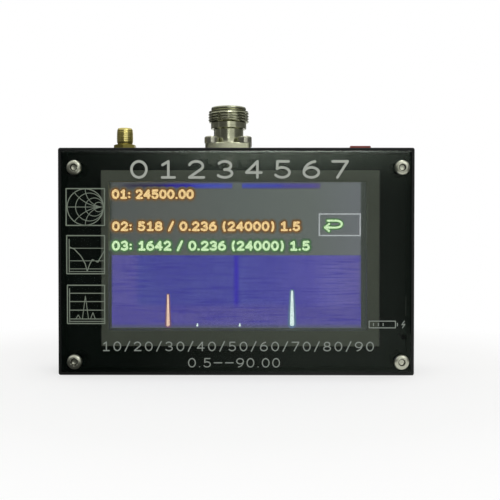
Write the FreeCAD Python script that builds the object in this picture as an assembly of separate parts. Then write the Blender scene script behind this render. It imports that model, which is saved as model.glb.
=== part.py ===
import FreeCAD, Part
import math
import os

from FreeCAD import Vector

# Hand-held antenna analyzer, standing on its lower long side.
# Millimetres. +X to the right, +Y into the case from the front, +Z up.
# The origin is under the middle of the case, on the surface that it stands on.

# ---------------------------------------------------------------- driving dimensions

# Case: a black anodised aluminium tube frame, closed by a panel and a cover set into its ends.
# The panel's bevelled face stands a little proud of the tube's rim.
CASE_W = 133.0
CASE_H = 85.0
CASE_D = 30.0
WALL = 1.1
CORNER_R = 0.8
RIM_R = 0.35
PANEL_GAP = 0.1
PANEL_T = 2.0
PANEL_BEVEL = 0.55
PANEL_PROUD = 0.6
COVER_T = 1.5

# Corner fastenings, as seen from the front: the pattern sits a little low and to the right.
HOLES_X = (-60.2, 61.6)
HOLES_Z = (5.15, 77.5)
POST_R = 3.6
M3_R = 1.45
M3_TAP_R = 1.5
M3_BOARD_HOLE_R = 1.6
M3_HOLE_R = 1.7
M3_HEX_AF = 5.5
POST_TAP_DEPTH = 7.0
SPACER_TAP_DEPTH = 5.2
SPACER_STUD = 5.0
FRONT_SCREW_GRIP = 4.5
REAR_SCREW_GRIP = 5.0

# Socket button-head screws of the panel and the cover.
BUTTON_HEAD_R = 2.85
BUTTON_HEAD_H = 1.65
BUTTON_EDGE = 0.25
BUTTON_BULGE = 0.36
BUTTON_CROWN_R = 1.65
BUTTON_SOCKET_AF = 2.3
BUTTON_SOCKET_DEPTH = 1.05

# Cross-recessed pan-head screws of the large connector.
PAN_HEAD_R = 2.75
PAN_HEAD_H = 2.6
PAN_ROUND = 0.65
PAN_CROSS = (2.8, 0.6, 1.2)
PAN_SHANK = 8.0
M3_NUT_T = 2.4

# Display module: a 4.3 inch touch screen, bonded behind the panel.
LCD_W = 105.5
LCD_H = 66.0
LCD_X = 1.5
LCD_Z = 43.7
GASKET_T = 1.0
TOUCH_T = 1.0
LCD_T = 3.1
LCD_SHEET = 0.3
LCD_PLAY = 0.2
CELL_T = 1.1
CELL_AIR = 0.2
VIEW_X = (-47.9, 49.1)
VIEW_Z = (16.6, 72.6)
PAD_X = (-42.0, 39.0)
PAD_Z = (23.0, 52.0)
PAD_W = 11.0
PAD_H = 13.0

# Ribbon of the display: down out of the module, back on itself and up to its socket.
FLEX_W = 38.0
FLEX_T = 0.16
FLEX_BEHIND_CELL = 0.4
FLEX_OFF_BOARD = 1.0
FLEX_INSIDE = 2.0
FLEX_SLACK = 0.8
FLEX_RISE = 4.5
FLEX_GAP = 0.05
FLEX_SOCKET_MARGIN = 2.0
FLEX_SOCKET_T = 1.6
FLEX_SOCKET_Z = (3.0, 7.5)

# Boards.
BOARD_T = 1.6
BOARD_CORNER_R = 1.0
BOARD_FRONT = -5.6
BOARD_MARGIN = 0.5
BOARD_NOTCH_MARGIN = 4.4
RF_FRONT = 3.25
RF_X = (-52.0, 36.0)
RF_Z = (42.5, 73.5)
RF_HOLE_INSET = 3.2
RF_STANDOFF_AF = 4.5
RF_STUD = 1.9
RF_NUT_AF = 5.0
RF_NUT_T = 1.6
RF_TAP_DEPTH = 4.5
RF_SCREW_GRIP = 4.0
RF_HEAD_R = 2.25
RF_HEAD_H = 1.7
RF_HEAD_ROUND = 0.6
RF_CROSS = (2.4, 0.5, 0.8)
M25_R = 1.2
M25_TAP_R = 1.25
M25_HOLE_R = 1.35
SHIELD_X = (-44.0, 6.0)
SHIELD_Z = (50.5, 71.5)
SHIELD_H = 4.6
SHIELD_SHEET = 0.3

# Processor, memory, codec and regulator: X, Z and height of each.
CHIPS = (
    ((-42.0, -22.0), (14.0, 34.0), 1.4),
    ((-17.0, 5.0), (27.0, 37.0), 1.1),
    ((12.0, 19.0), (24.0, 31.0), 0.9),
    ((24.0, 32.0), (12.0, 20.0), 3.0),
)

# Two-row pin header between the boards.
PIN = 0.64
PIN_PITCH = 2.54
PIN_COUNT = 8
PIN_ROWS_UP = 3.5
PIN_TIP = 1.5
PIN_PROUD = 0.9
HEADER_SOCKET_H = 4.75

CARD_SOCKET_X = (38.5, 53.0)
CARD_SOCKET_Z = (33.0, 47.0)
CARD_SOCKET_T = 1.9
CARD_SHEET = 0.4
CARD_X = (40.3, 51.2)
CARD_Z = (30.4, 45.4)
CARD_T = 1.0
CARD_PLAY = 0.1

# Connectors on the top wall. Heights are above the case.
CONNECTOR_Y = 2.0
N_X = -3.3
N_FLANGE = 17.5
N_FLANGE_T = 2.8
N_FLANGE_CORNER_R = 1.2
N_HOLE_SPACING = 12.7
N_NECK_R = 5.8
N_COLLAR_R = 6.95
N_THREAD_R = 7.94
N_LIP_R = 6.85
N_NECK_TOP = 8.9
N_COLLAR_TOP = 11.3
N_THREAD_TOP = 15.7
N_TOP = 17.3
N_CHAMFER = 0.35
N_MOUTH_R = 4.15
N_MOUTH_DEPTH = 4.9
N_BORE_R = 3.5
N_REAR_R = 4.75
N_REAR_DROP = 6.5
N_HOLE_PLAY = 0.15
N_INSULATOR_TOP = 7.0
N_INSULATOR_INSET = 0.5
N_STEM_R = 1.32
N_CONTACT_R = 1.52
N_CONTACT_SHY = 0.3
N_PIN_HOLE_R = 0.82
N_PIN_HOLE_FLOOR = 7.6
N_SLIT_FLOOR = 8.4
N_SLIT_W = 0.3
N_CUP_R = 0.6
N_CUP_DROP = 9.5
N_CUP_DEPTH = 2.6

SMA_X = -44.0
SMA_R = 3.175
SMA_CORE_R = 3.0
SMA_TOP = 9.25
SMA_CHAMFER = (0.45, 0.7)
SMA_NUT_AF = 8.0
SMA_NUT_T = 2.3
SMA_NUT_TURN = 30.0
SMA_NUT_CHAMFER = 0.4
SMA_WASHER_R = 4.3
SMA_WASHER_T = 0.5
SMA_FLANGE_T = 2.0
SMA_TAIL_R = 2.2
SMA_TAIL_DROP = 10.0
SMA_BORE_R = 2.05
SMA_BORE_DROP = 5.0
SMA_MOUTH_R = 2.35
SMA_MOUTH_DEPTH = 1.9
SMA_PIN_R = 0.64
SMA_PIN_HOLE_R = 0.46
SMA_PIN_HOLE_DEPTH = 3.0
SMA_PIN_DROP = 5.6

THREAD_PLAY = 0.05
COAX_R = 1.25
COAX_CORE_R = 0.5
COAX_CORE = 2.2
COAX_GAP = 0.2
N_COAX_ON_BOARD = 11.0
SMA_COAX_ON_BOARD = 9.0

# Power rocker on the top wall, its long side running front to back.
ROCKER_X = 47.9
ROCKER_Y = 3.8
ROCKER_PIVOT_Z = 84.0
ROCKER_HALF_W = 4.0
ROCKER_R = 6.25
ROCKER_REST_DEG = 7.0
ROCKER_TOP = 2.5
ROCKER_DISH = 0.45
ROCKER_SKIRT = 2.6
ROCKER_EDGE_R = 0.4
ROCKER_SIDE_PLAY = 0.12
ROCKER_END_PLAY = 0.15
TRUNNION_R = 1.0
TRUNNION_PLAY = 0.06
TRUNNION_OUT = 0.45
ACTUATOR = (1.6, 1.0, 1.2)
BEZEL = (11.0, 15.4, 0.9)
BEZEL_CORNER_R = 1.2
BEZEL_EDGE_R = 0.3
ROCKER_BODY = (9.4, 13.8, 12.0)
ROCKER_WELL = 6.0
SNAP_TAB = (2.0, 0.5, 3.0)
CUTOUT_PLAY = 0.1
TERMINAL_SPREAD = 3.5
TERMINAL_W = 4.8
TERMINAL_T = 0.8
TERMINAL_L = 9.5
TERMINAL_OUT = 6.5
SWITCH_LEAD_R = 0.7
SWITCH_LEADS = ((-1, 9.0, 3.0), (1, 13.0, 5.0))

# Reset key on the main board, pressed with a pin through the rear cover.
RESET_X = -57.0
RESET_Z = 45.0
RESET_BODY = 6.2
RESET_BODY_T = 3.4
RESET_FLOOR = 1.2
RESET_KEY_R = 1.7
RESET_KEY_PLAY = 0.08
RESET_KEY_OUT = 0.8
RESET_TRAVEL = 0.25
RESET_SPARE = 0.2
PINHOLE_R = 1.0

# Sockets in the side walls.
USB_W = 7.5
USB_T = 2.7
USB_DEPTH = 5.6
USB_Z = 25.0
USB_GAP = 0.3
USB_SHY = 0.2
USB_ROUND = 0.5
USB_SHEET = 0.35
USB_FLOOR = 0.6
USB_TONGUE_W = 4.8
USB_TONGUE_Y = (1.0, 1.7)
USB_TONGUE_SHY = 0.8

CHARGE_LED_X = 62.6
CHARGE_LED_Z = 14.4
CHARGE_LED = (1.6, 1.1, 1.2)

# Battery, taped to the cover, with its plug on the main board.
BATTERY_X = (-30.0, 34.0)
BATTERY_Z = (6.0, 40.0)
BATTERY_T = 8.0
BATTERY_EDGE_R = 1.5
BATTERY_TAPE_T = 1.0
BATTERY_TAPE_INSET = (5.0, 4.0)
PLUG_X = (40.4, 47.4)
PLUG_Z = (24.4, 28.0)
PLUG_OFF_BOARD = 1.6
PLUG_L = 7.0
PLUG_PLAY = 0.05
HEADER_WALL = 0.5
HEADER_H = 5.6
HEADER_FLOOR = 1.5
BATTERY_LEAD_R = 0.6
BATTERY_LEAD_BEND = 0.8
RED_LEAD = (1.0, 10.2)
BLACK_LEAD = (-1.0, 8.2)

# ---------------------------------------------------------------- worked-out levels

FRONT = -CASE_D / 2
TUBE_FRONT = FRONT + PANEL_PROUD
BACK = CASE_D / 2
PANEL_BACK = FRONT + PANEL_T
COVER_FRONT = BACK - COVER_T
INNER_X = CASE_W / 2 - WALL
INNER_TOP = CASE_H - WALL
BOARD_BACK = BOARD_FRONT + BOARD_T
RF_BACK = RF_FRONT + BOARD_T
TOUCH_FRONT = PANEL_BACK + GASKET_T
LCD_FRONT = TOUCH_FRONT + TOUCH_T
LCD_BACK = LCD_FRONT + LCD_T
LCD_SIDES = (LCD_X - LCD_W / 2, LCD_X + LCD_W / 2)
LCD_ENDS = (LCD_Z - LCD_H / 2, LCD_Z + LCD_H / 2)
FLANGE_TOP = CASE_H + N_FLANGE_T
N_MOUTH_FLOOR = CASE_H + N_TOP - N_MOUTH_DEPTH
SMA_END = CASE_H + SMA_TOP
SMA_NUT_BOTTOM = CASE_H + SMA_WASHER_T
SMA_NUT_TOP = SMA_NUT_BOTTOM + SMA_NUT_T
TERMINAL_END = CASE_H - ROCKER_BODY[2] - TERMINAL_OUT
PLUG_Y = (BOARD_BACK + PLUG_OFF_BOARD, BOARD_BACK + PLUG_OFF_BOARD + PLUG_L)

ACROSS = Vector(1, 0, 0)
INWARD = Vector(0, 1, 0)
UP = Vector(0, 0, 1)

# How far a cutter runs past the face that it opens.
PAST = 1.0
TINY = 1e-6

# ---------------------------------------------------------------- small helpers


def box(x, y, z):
    """A block between the (low, high) pairs x, y and z."""
    size = (x[1] - x[0], y[1] - y[0], z[1] - z[0])
    return Part.makeBox(*size, Vector(x[0], y[0], z[0]))


def about(middle, half):
    return (middle - half, middle + half)


def grown(span, by):
    return (span[0] - by, span[1] + by)


def rod_y(x, z, radius, y0, y1):
    return Part.makeCylinder(radius, y1 - y0, Vector(x, y0, z), INWARD)


def rod_z(x, y, radius, z0, z1):
    return Part.makeCylinder(radius, z1 - z0, Vector(x, y, z0), UP)


def hexagon(across_flats, centre, along, first_deg):
    """A closed hexagonal wire around centre, square to the axis 'along' (UP or INWARD)."""
    radius = across_flats / math.sqrt(3)
    points = []
    for side in range(7):
        turn = math.radians(first_deg + 60 * side)
        a = radius * math.cos(turn)
        b = radius * math.sin(turn)
        points.append(centre + (Vector(a, b, 0) if along == UP else Vector(a, 0, b)))
    return Part.makePolygon(points)


def hex_y(x, z, across_flats, y0, y1):
    outline = hexagon(across_flats, Vector(x, y0, z), INWARD, 30)
    return Part.Face(outline).extrude(Vector(0, y1 - y0, 0))


def hex_z(x, y, across_flats, z0, z1, first_deg=0):
    outline = hexagon(across_flats, Vector(x, y, z0), UP, first_deg)
    return Part.Face(outline).extrude(Vector(0, 0, z1 - z0))


def turned(x, y, profile):
    """A solid of revolution about the upright axis at x, y. profile is a list of (radius, z)."""
    points = [Vector(x + radius, y, z) for radius, z in profile]
    points.append(points[0])
    return Part.Face(Part.makePolygon(points)).revolve(Vector(x, y, 0), UP, 360)


def runs_along(edge, direction):
    if not isinstance(edge.Curve, Part.Line):
        return False
    return abs(abs(edge.Curve.Direction.dot(direction)) - 1) < TINY


def lies_in_y(edge, y):
    bounds = edge.BoundBox
    return abs(bounds.YMin - y) < TINY and abs(bounds.YMax - y) < TINY


def lies_in_z(edge, z):
    bounds = edge.BoundBox
    return abs(bounds.ZMin - z) < TINY and abs(bounds.ZMax - z) < TINY


def rounded_along(shape, direction, radius):
    """The shape with its straight edges along one direction rounded."""
    return shape.makeFillet(radius, [edge for edge in shape.Edges if runs_along(edge, direction)])


def hole_centres():
    return [(x, z) for x in HOLES_X for z in HOLES_Z]


def joined(shapes):
    result = shapes[0]
    for shape in shapes[1:]:
        result = result.fuse(shape)
    return result.removeSplitter()


def cross_y(x, z, size, y0):
    """The cutter of a cross recess in a head that faces +Y. size is (span, width, depth)."""
    y = (y0 - size[2], y0 + PAST)
    level = box(about(x, size[0] / 2), y, about(z, size[1] / 2))
    return level.fuse(box(about(x, size[1] / 2), y, about(z, size[0] / 2)))


def cross_z(x, y, size, z0):
    """The cutter of a cross recess in a head that faces +Z. size is (span, width, depth)."""
    z = (z0 - size[2], z0 + PAST)
    level = box(about(x, size[0] / 2), about(y, size[1] / 2), z)
    return level.fuse(box(about(x, size[1] / 2), about(y, size[0] / 2), z))


def lead(points, bend, radius):
    """A round wire along two straight runs, with an arc of radius 'bend' between them."""
    start, corner, end = points
    arrive = (corner - start).normalize()
    leave = (end - corner).normalize()
    half_turn = arrive.getAngle(leave) / 2
    reach = bend * math.tan(half_turn)
    arc_start = corner - arrive * reach
    arc_end = corner + leave * reach
    inwards = (leave - arrive).normalize()
    middle = corner + inwards * (bend / math.cos(half_turn) - bend)
    path = Part.Wire([
        Part.LineSegment(start, arc_start).toShape(),
        Part.Arc(arc_start, middle, arc_end).toShape(),
        Part.LineSegment(arc_end, end).toShape(),
    ])
    section = Part.Wire(Part.Circle(start, arrive, radius).toShape())
    return path.makePipeShell([section], True, False)


# ---------------------------------------------------------------- case


def corner_block(x, z):
    """A screw post, filled out to both walls of its corner."""
    wall_x = math.copysign(INNER_X + WALL / 2, x)
    wall_z = WALL / 2 if z < CASE_H / 2 else CASE_H - WALL / 2
    depth = (BOARD_BACK, COVER_FRONT)
    to_side = box(sorted((x, wall_x)), depth, about(z, POST_R))
    to_edge = box(about(x, POST_R), depth, sorted((z, wall_z)))
    corner = box(sorted((x, wall_x)), depth, sorted((z, wall_z)))
    return joined([rod_y(x, z, POST_R, *depth), to_side, to_edge, corner])


def case_tube():
    """The tube itself: rounded corners, rounded rims, open at the front and the back."""
    half = CASE_W / 2
    length = (TUBE_FRONT, BACK)
    tube = rounded_along(box((-half, half), length, (0, CASE_H)), INWARD, CORNER_R)
    rims = [edge for edge in tube.Edges if lies_in_y(edge, TUBE_FRONT) or lies_in_y(edge, BACK)]
    tube = tube.makeFillet(RIM_R, rims)
    return tube.cut(box((-INNER_X, INNER_X), grown(length, PAST), (WALL, INNER_TOP)))


def case_frame():
    frame = joined([case_tube()] + [corner_block(x, z) for x, z in hole_centres()])
    for x, z in hole_centres():
        frame = frame.cut(rod_y(x, z, M3_TAP_R, BOARD_BACK - PAST, BOARD_BACK + POST_TAP_DEPTH))
        frame = frame.cut(rod_y(x, z, M3_TAP_R, COVER_FRONT - POST_TAP_DEPTH, COVER_FRONT + PAST))
    through_top = grown((INNER_TOP, CASE_H), PAST)
    frame = frame.cut(rod_z(N_X, CONNECTOR_Y, N_REAR_R + N_HOLE_PLAY, *through_top))
    for x, y in n_screw_centres():
        frame = frame.cut(rod_z(x, y, M3_HOLE_R, *through_top))
    frame = frame.cut(rod_z(SMA_X, CONNECTOR_Y, SMA_R, *through_top))
    half_x = ROCKER_BODY[0] / 2 + CUTOUT_PLAY
    half_y = ROCKER_BODY[1] / 2 + CUTOUT_PLAY
    frame = frame.cut(around_rocker(half_x, half_y, through_top))
    slot_y = grown((BOARD_BACK, BOARD_BACK + USB_T), USB_GAP)
    slot_z = about(USB_Z, USB_W / 2 + USB_GAP)
    for side in (-1, 1):
        slot_x = sorted((side * (INNER_X - PAST), side * (CASE_W / 2 + PAST)))
        frame = frame.cut(box(slot_x, slot_y, slot_z))
    return frame


def end_plate(y):
    """The blank shared by the front panel and the rear cover, set into the tube."""
    edge_x = INNER_X - PANEL_GAP
    return box((-edge_x, edge_x), y, (WALL + PANEL_GAP, INNER_TOP - PANEL_GAP))


def front_panel():
    panel = end_plate((FRONT, PANEL_BACK))
    panel = panel.makeChamfer(PANEL_BEVEL, [edge for edge in panel.Edges if lies_in_y(edge, FRONT)])
    through = grown((FRONT, PANEL_BACK), PAST)
    for x, z in hole_centres():
        panel = panel.cut(rod_y(x, z, M3_HOLE_R, *through))
    return panel.cut(rod_y(CHARGE_LED_X, CHARGE_LED_Z, PINHOLE_R, *through))


def rear_cover():
    cover = end_plate((COVER_FRONT, BACK))
    through = grown((COVER_FRONT, BACK), PAST)
    for x, z in hole_centres():
        cover = cover.cut(rod_y(x, z, M3_HOLE_R, *through))
    return cover.cut(rod_y(RESET_X, RESET_Z, PINHOLE_R, *through))


def button_screw(x, z, seat, outward, length):
    """A socket button-head screw. seat is the face under the head, outward is -1 or +1 along Y."""
    crown_y = seat + outward * BUTTON_HEAD_H
    base = Vector(x, seat, z)
    brim = Vector(x + BUTTON_HEAD_R, seat, z)
    rim = Vector(x + BUTTON_HEAD_R, seat + outward * BUTTON_EDGE, z)
    crown = Vector(x + BUTTON_CROWN_R, crown_y, z)
    bulge = Vector(abs(crown.y - rim.y), outward * (rim.x - crown.x), 0).normalize()
    dome = Part.Arc(rim, (rim + crown) * 0.5 + bulge * BUTTON_BULGE, crown)
    outline = [
        Part.LineSegment(base, brim),
        Part.LineSegment(brim, rim),
        dome,
        Part.LineSegment(crown, Vector(x, crown_y, z)),
        Part.LineSegment(Vector(x, crown_y, z), base),
    ]
    profile = Part.Wire([piece.toShape() for piece in outline])
    head = Part.Face(profile).revolve(base, INWARD, 360)
    socket_y = sorted((crown_y + outward * PAST, crown_y - outward * BUTTON_SOCKET_DEPTH))
    head = head.cut(hex_y(x, z, BUTTON_SOCKET_AF, *socket_y))
    shank = rod_y(x, z, M3_R, *sorted((seat, seat - outward * length)))
    return head.fuse(shank).removeSplitter()


def front_screws():
    return [button_screw(x, z, FRONT, -1, PANEL_T + FRONT_SCREW_GRIP) for x, z in hole_centres()]


def rear_screws():
    return [button_screw(x, z, BACK, 1, COVER_T + REAR_SCREW_GRIP) for x, z in hole_centres()]


def panel_standoffs():
    """Hexagonal spacers that carry the panel and clamp the main board to the posts."""
    spacers = []
    for x, z in hole_centres():
        spacer = hex_y(x, z, M3_HEX_AF, PANEL_BACK, BOARD_FRONT)
        spacer = spacer.fuse(rod_y(x, z, M3_R, BOARD_FRONT, BOARD_BACK + SPACER_STUD))
        tapped = rod_y(x, z, M3_TAP_R, PANEL_BACK - PAST, PANEL_BACK + SPACER_TAP_DEPTH)
        spacers.append(spacer.cut(tapped))
    return spacers


# ---------------------------------------------------------------- display


def lcd_block(y, inset=0.0):
    return box(grown(LCD_SIDES, -inset), y, grown(LCD_ENDS, -inset))


def lcd_gasket():
    window = box(VIEW_X, grown((PANEL_BACK, TOUCH_FRONT), PAST), VIEW_Z)
    return lcd_block((PANEL_BACK, TOUCH_FRONT)).cut(window)


def touch_glass():
    return lcd_block((TOUCH_FRONT, LCD_FRONT))


def lcd_frame():
    """A sheet-metal tray, open towards the glass."""
    tray = lcd_block((LCD_FRONT, LCD_BACK))
    tray = tray.cut(lcd_block((LCD_FRONT - PAST, LCD_BACK - LCD_SHEET), LCD_SHEET))
    return tray.cut(flex_exit())


def lcd_cell():
    """The display's own glass. The tray's rim holds the touch glass a little in front of it."""
    return lcd_block((LCD_FRONT + CELL_AIR, LCD_FRONT + CELL_T), LCD_SHEET + LCD_PLAY)


def lcd_backlight():
    stack = lcd_block((LCD_FRONT + CELL_T, LCD_BACK - LCD_SHEET), LCD_SHEET + LCD_PLAY)
    return stack.cut(flex_exit())


def flex_levels():
    """Where the ribbon leaves the module, and where it runs back up in front of the board."""
    return LCD_FRONT + CELL_T + FLEX_BEHIND_CELL, BOARD_FRONT - FLEX_OFF_BOARD


def flex_exit():
    """The slot that lets the ribbon out of the lower edge of the module."""
    out_y, _ = flex_levels()
    slot_x = about(LCD_X, FLEX_W / 2 + LCD_PLAY)
    slot_y = grown((out_y, out_y + FLEX_T), LCD_PLAY)
    return box(slot_x, slot_y, (LCD_ENDS[0] - PAST, LCD_ENDS[0] + FLEX_INSIDE + LCD_PLAY))


def lcd_flex():
    """A ribbon of even thickness: down, round a half turn, and up. It is drawn in the YZ plane."""
    out_y, up_y = flex_levels()
    outer = (up_y + FLEX_T - out_y) / 2
    inner = outer - FLEX_T
    middle = out_y + outer
    low = LCD_ENDS[0] - FLEX_SLACK
    top_in = LCD_ENDS[0] + FLEX_INSIDE
    top_out = LCD_ENDS[0] + FLEX_RISE

    def at(across, z):
        return Vector(0, middle + across, z)

    def bow(radius):
        return Part.Arc(at(-radius, low), at(0, low - radius), at(radius, low))

    outline = [
        Part.LineSegment(at(-outer, top_in), at(-outer, low)),
        bow(outer),
        Part.LineSegment(at(outer, low), at(outer, top_out)),
        Part.LineSegment(at(outer, top_out), at(inner, top_out)),
        Part.LineSegment(at(inner, top_out), at(inner, low)),
        bow(inner),
        Part.LineSegment(at(-inner, low), at(-inner, top_in)),
        Part.LineSegment(at(-inner, top_in), at(-outer, top_in)),
    ]
    ribbon = Part.Face(Part.Wire(Part.__sortEdges__([piece.toShape() for piece in outline])))
    ribbon = ribbon.extrude(Vector(FLEX_W, 0, 0))
    ribbon.translate(Vector(LCD_X - FLEX_W / 2, 0, 0))
    return ribbon


def flex_socket():
    _, up_y = flex_levels()
    bottom = LCD_ENDS[0] + FLEX_SOCKET_Z[0]
    top = LCD_ENDS[0] + FLEX_SOCKET_Z[1]
    socket_x = about(LCD_X, FLEX_W / 2 + FLEX_SOCKET_MARGIN)
    socket = box(socket_x, (BOARD_FRONT - FLEX_SOCKET_T, BOARD_FRONT), (bottom, top))
    slot_x = about(LCD_X, FLEX_W / 2 + FLEX_GAP)
    slot_y = grown((up_y, up_y + FLEX_T), FLEX_GAP)
    return socket.cut(box(slot_x, slot_y, (bottom - PAST, LCD_ENDS[0] + FLEX_RISE + FLEX_GAP)))


def lcd_pads():
    """Foam pads between the display and the main board."""
    depth = (LCD_BACK, BOARD_FRONT)
    return [box((x, x + PAD_W), depth, (z, z + PAD_H)) for x in PAD_X for z in PAD_Z]


# ---------------------------------------------------------------- boards


def rf_hole_centres():
    xs = grown(RF_X, -RF_HOLE_INSET)
    zs = grown(RF_Z, -RF_HOLE_INSET)
    return [(x, z) for x in xs for z in zs]


def pin_places():
    middle_x = (RF_X[0] + RF_X[1]) / 2
    middle_z = RF_Z[0] + PIN_ROWS_UP
    columns = [middle_x + (index - (PIN_COUNT - 1) / 2) * PIN_PITCH for index in range(PIN_COUNT)]
    return [(x, z) for x in columns for z in about(middle_z, PIN_PITCH / 2)]


def header_pins():
    length = (BOARD_BACK + PIN_TIP, RF_BACK + PIN_PROUD)
    return [box(about(x, PIN / 2), length, about(z, PIN / 2)) for x, z in pin_places()]


def header_block(y):
    xs = [x for x, _ in pin_places()]
    zs = [z for _, z in pin_places()]
    edge = PIN_PITCH / 2
    block = box(grown((min(xs), max(xs)), edge), y, grown((min(zs), max(zs)), edge))
    return block.cut(Part.makeCompound(header_pins()))


def main_board():
    edge_x = INNER_X - BOARD_MARGIN
    board = box((-edge_x, edge_x), (BOARD_FRONT, BOARD_BACK), grown((WALL, INNER_TOP), -BOARD_MARGIN))
    board = rounded_along(board, INWARD, BOARD_CORNER_R)
    through = grown((BOARD_FRONT, BOARD_BACK), PAST)
    notch_x = about(N_X, N_HOLE_SPACING / 2 + BOARD_NOTCH_MARGIN)
    board = board.cut(box(notch_x, through, (LCD_ENDS[1] + PAST, CASE_H)))
    for x, z in hole_centres():
        board = board.cut(rod_y(x, z, M3_BOARD_HOLE_R, *through))
    for x, z in rf_hole_centres():
        board = board.cut(rod_y(x, z, M25_HOLE_R, *through))
    return board


def board_chips():
    return [box(x, (BOARD_BACK, BOARD_BACK + height), z) for x, z, height in CHIPS]


def rf_board():
    board = rounded_along(box(RF_X, (RF_FRONT, RF_BACK), RF_Z), INWARD, BOARD_CORNER_R)
    for x, z in rf_hole_centres():
        board = board.cut(rod_y(x, z, M25_HOLE_R, *grown((RF_FRONT, RF_BACK), PAST)))
    return board.cut(Part.makeCompound(header_pins()))


def rf_shield():
    can = box(SHIELD_X, (RF_BACK, RF_BACK + SHIELD_H), SHIELD_Z)
    can = rounded_along(can, INWARD, BOARD_CORNER_R)
    hollow_y = (RF_BACK - PAST, RF_BACK + SHIELD_H - SHIELD_SHEET)
    return can.cut(box(grown(SHIELD_X, -SHIELD_SHEET), hollow_y, grown(SHIELD_Z, -SHIELD_SHEET)))


def rf_standoffs():
    spacers = []
    for x, z in rf_hole_centres():
        spacer = hex_y(x, z, RF_STANDOFF_AF, BOARD_BACK, RF_FRONT)
        spacer = spacer.fuse(rod_y(x, z, M25_R, BOARD_FRONT - RF_STUD, BOARD_BACK))
        spacers.append(spacer.cut(rod_y(x, z, M25_TAP_R, RF_FRONT - RF_TAP_DEPTH, RF_FRONT + PAST)))
    return spacers


def rf_nuts():
    nuts = []
    for x, z in rf_hole_centres():
        nut = hex_y(x, z, RF_NUT_AF, BOARD_FRONT - RF_NUT_T, BOARD_FRONT)
        nuts.append(nut.cut(rod_y(x, z, M25_TAP_R, *grown((BOARD_FRONT - RF_NUT_T, BOARD_FRONT), PAST))))
    return nuts


def rf_screws():
    screws = []
    crown = RF_BACK + RF_HEAD_H
    for x, z in rf_hole_centres():
        head = rod_y(x, z, RF_HEAD_R, RF_BACK, crown)
        head = head.makeFillet(RF_HEAD_ROUND, [edge for edge in head.Edges if lies_in_y(edge, crown)])
        head = head.cut(cross_y(x, z, RF_CROSS, crown))
        screws.append(head.fuse(rod_y(x, z, M25_R, RF_FRONT - RF_SCREW_GRIP, RF_BACK)))
    return screws


def charge_led():
    width, depth, height = CHARGE_LED
    led_y = (BOARD_FRONT - depth, BOARD_FRONT)
    return box(about(CHARGE_LED_X, width / 2), led_y, about(CHARGE_LED_Z, height / 2))


def usb_socket(side):
    """A micro-USB shell on the back of the main board, its mouth flush with a side wall."""
    mouth = side * (CASE_W / 2 - USB_SHY)
    inner = mouth - side * USB_DEPTH
    back = BOARD_BACK + USB_T
    shell = box(sorted((inner, mouth)), (BOARD_BACK, back), about(USB_Z, USB_W / 2))
    upper = [edge for edge in shell.Edges if lies_in_y(edge, back) and runs_along(edge, ACROSS)]
    shell = shell.makeFillet(USB_ROUND, upper)
    hollow_x = sorted((inner + side * USB_FLOOR, mouth + side * PAST))
    hollow_y = grown((BOARD_BACK, back), -USB_SHEET)
    hollow = box(hollow_x, hollow_y, about(USB_Z, USB_W / 2 - USB_SHEET))
    tongue_x = sorted((inner + side * USB_FLOOR / 2, mouth - side * USB_TONGUE_SHY))
    tongue_y = (BOARD_BACK + USB_TONGUE_Y[0], BOARD_BACK + USB_TONGUE_Y[1])
    tongue = box(tongue_x, tongue_y, about(USB_Z, USB_TONGUE_W / 2))
    return shell.cut(hollow).fuse(tongue).removeSplitter()


def card_socket():
    shell = box(CARD_SOCKET_X, (BOARD_BACK, BOARD_BACK + CARD_SOCKET_T), CARD_SOCKET_Z)
    hollow_y = grown((BOARD_BACK, BOARD_BACK + CARD_SOCKET_T), -CARD_SHEET)
    return shell.cut(box(grown(CARD_X, CARD_PLAY), hollow_y, (CARD_Z[0], CARD_Z[1] + CARD_PLAY)))


def memory_card():
    middle = BOARD_BACK + CARD_SOCKET_T / 2
    return box(CARD_X, about(middle, CARD_T / 2), CARD_Z)


# ---------------------------------------------------------------- N connector


def n_screw_centres():
    half = N_HOLE_SPACING / 2
    return [(x, y) for x in about(N_X, half) for y in about(CONNECTOR_Y, half)]


def n_body():
    """A square flange and a turned barrel, threaded near its end and open through its middle."""
    half = N_FLANGE / 2
    flange = box(about(N_X, half), about(CONNECTOR_Y, half), (CASE_H, FLANGE_TOP))
    flange = rounded_along(flange, UP, N_FLANGE_CORNER_R)
    inside_flange = (CASE_H + FLANGE_TOP) / 2
    barrel = turned(N_X, CONNECTOR_Y, [
        (0, CASE_H - N_REAR_DROP),
        (N_REAR_R, CASE_H - N_REAR_DROP),
        (N_REAR_R, inside_flange),
        (N_NECK_R, inside_flange),
        (N_NECK_R, CASE_H + N_NECK_TOP),
        (N_COLLAR_R, CASE_H + N_NECK_TOP),
        (N_COLLAR_R, CASE_H + N_COLLAR_TOP),
        (N_THREAD_R, CASE_H + N_COLLAR_TOP),
        (N_THREAD_R, CASE_H + N_THREAD_TOP - N_CHAMFER),
        (N_THREAD_R - N_CHAMFER, CASE_H + N_THREAD_TOP),
        (N_LIP_R, CASE_H + N_THREAD_TOP),
        (N_LIP_R, CASE_H + N_TOP - N_CHAMFER),
        (N_LIP_R - N_CHAMFER, CASE_H + N_TOP),
        (0, CASE_H + N_TOP),
    ])
    body = flange.fuse(barrel)
    body = body.cut(rod_z(N_X, CONNECTOR_Y, N_MOUTH_R, N_MOUTH_FLOOR, CASE_H + N_TOP + PAST))
    bore_bottom = CASE_H - N_REAR_DROP - PAST
    body = body.cut(rod_z(N_X, CONNECTOR_Y, N_BORE_R, bore_bottom, N_MOUTH_FLOOR + PAST))
    for x, y in n_screw_centres():
        body = body.cut(rod_z(x, y, M3_HOLE_R, *grown((CASE_H, FLANGE_TOP), PAST)))
    return body.removeSplitter()


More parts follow.
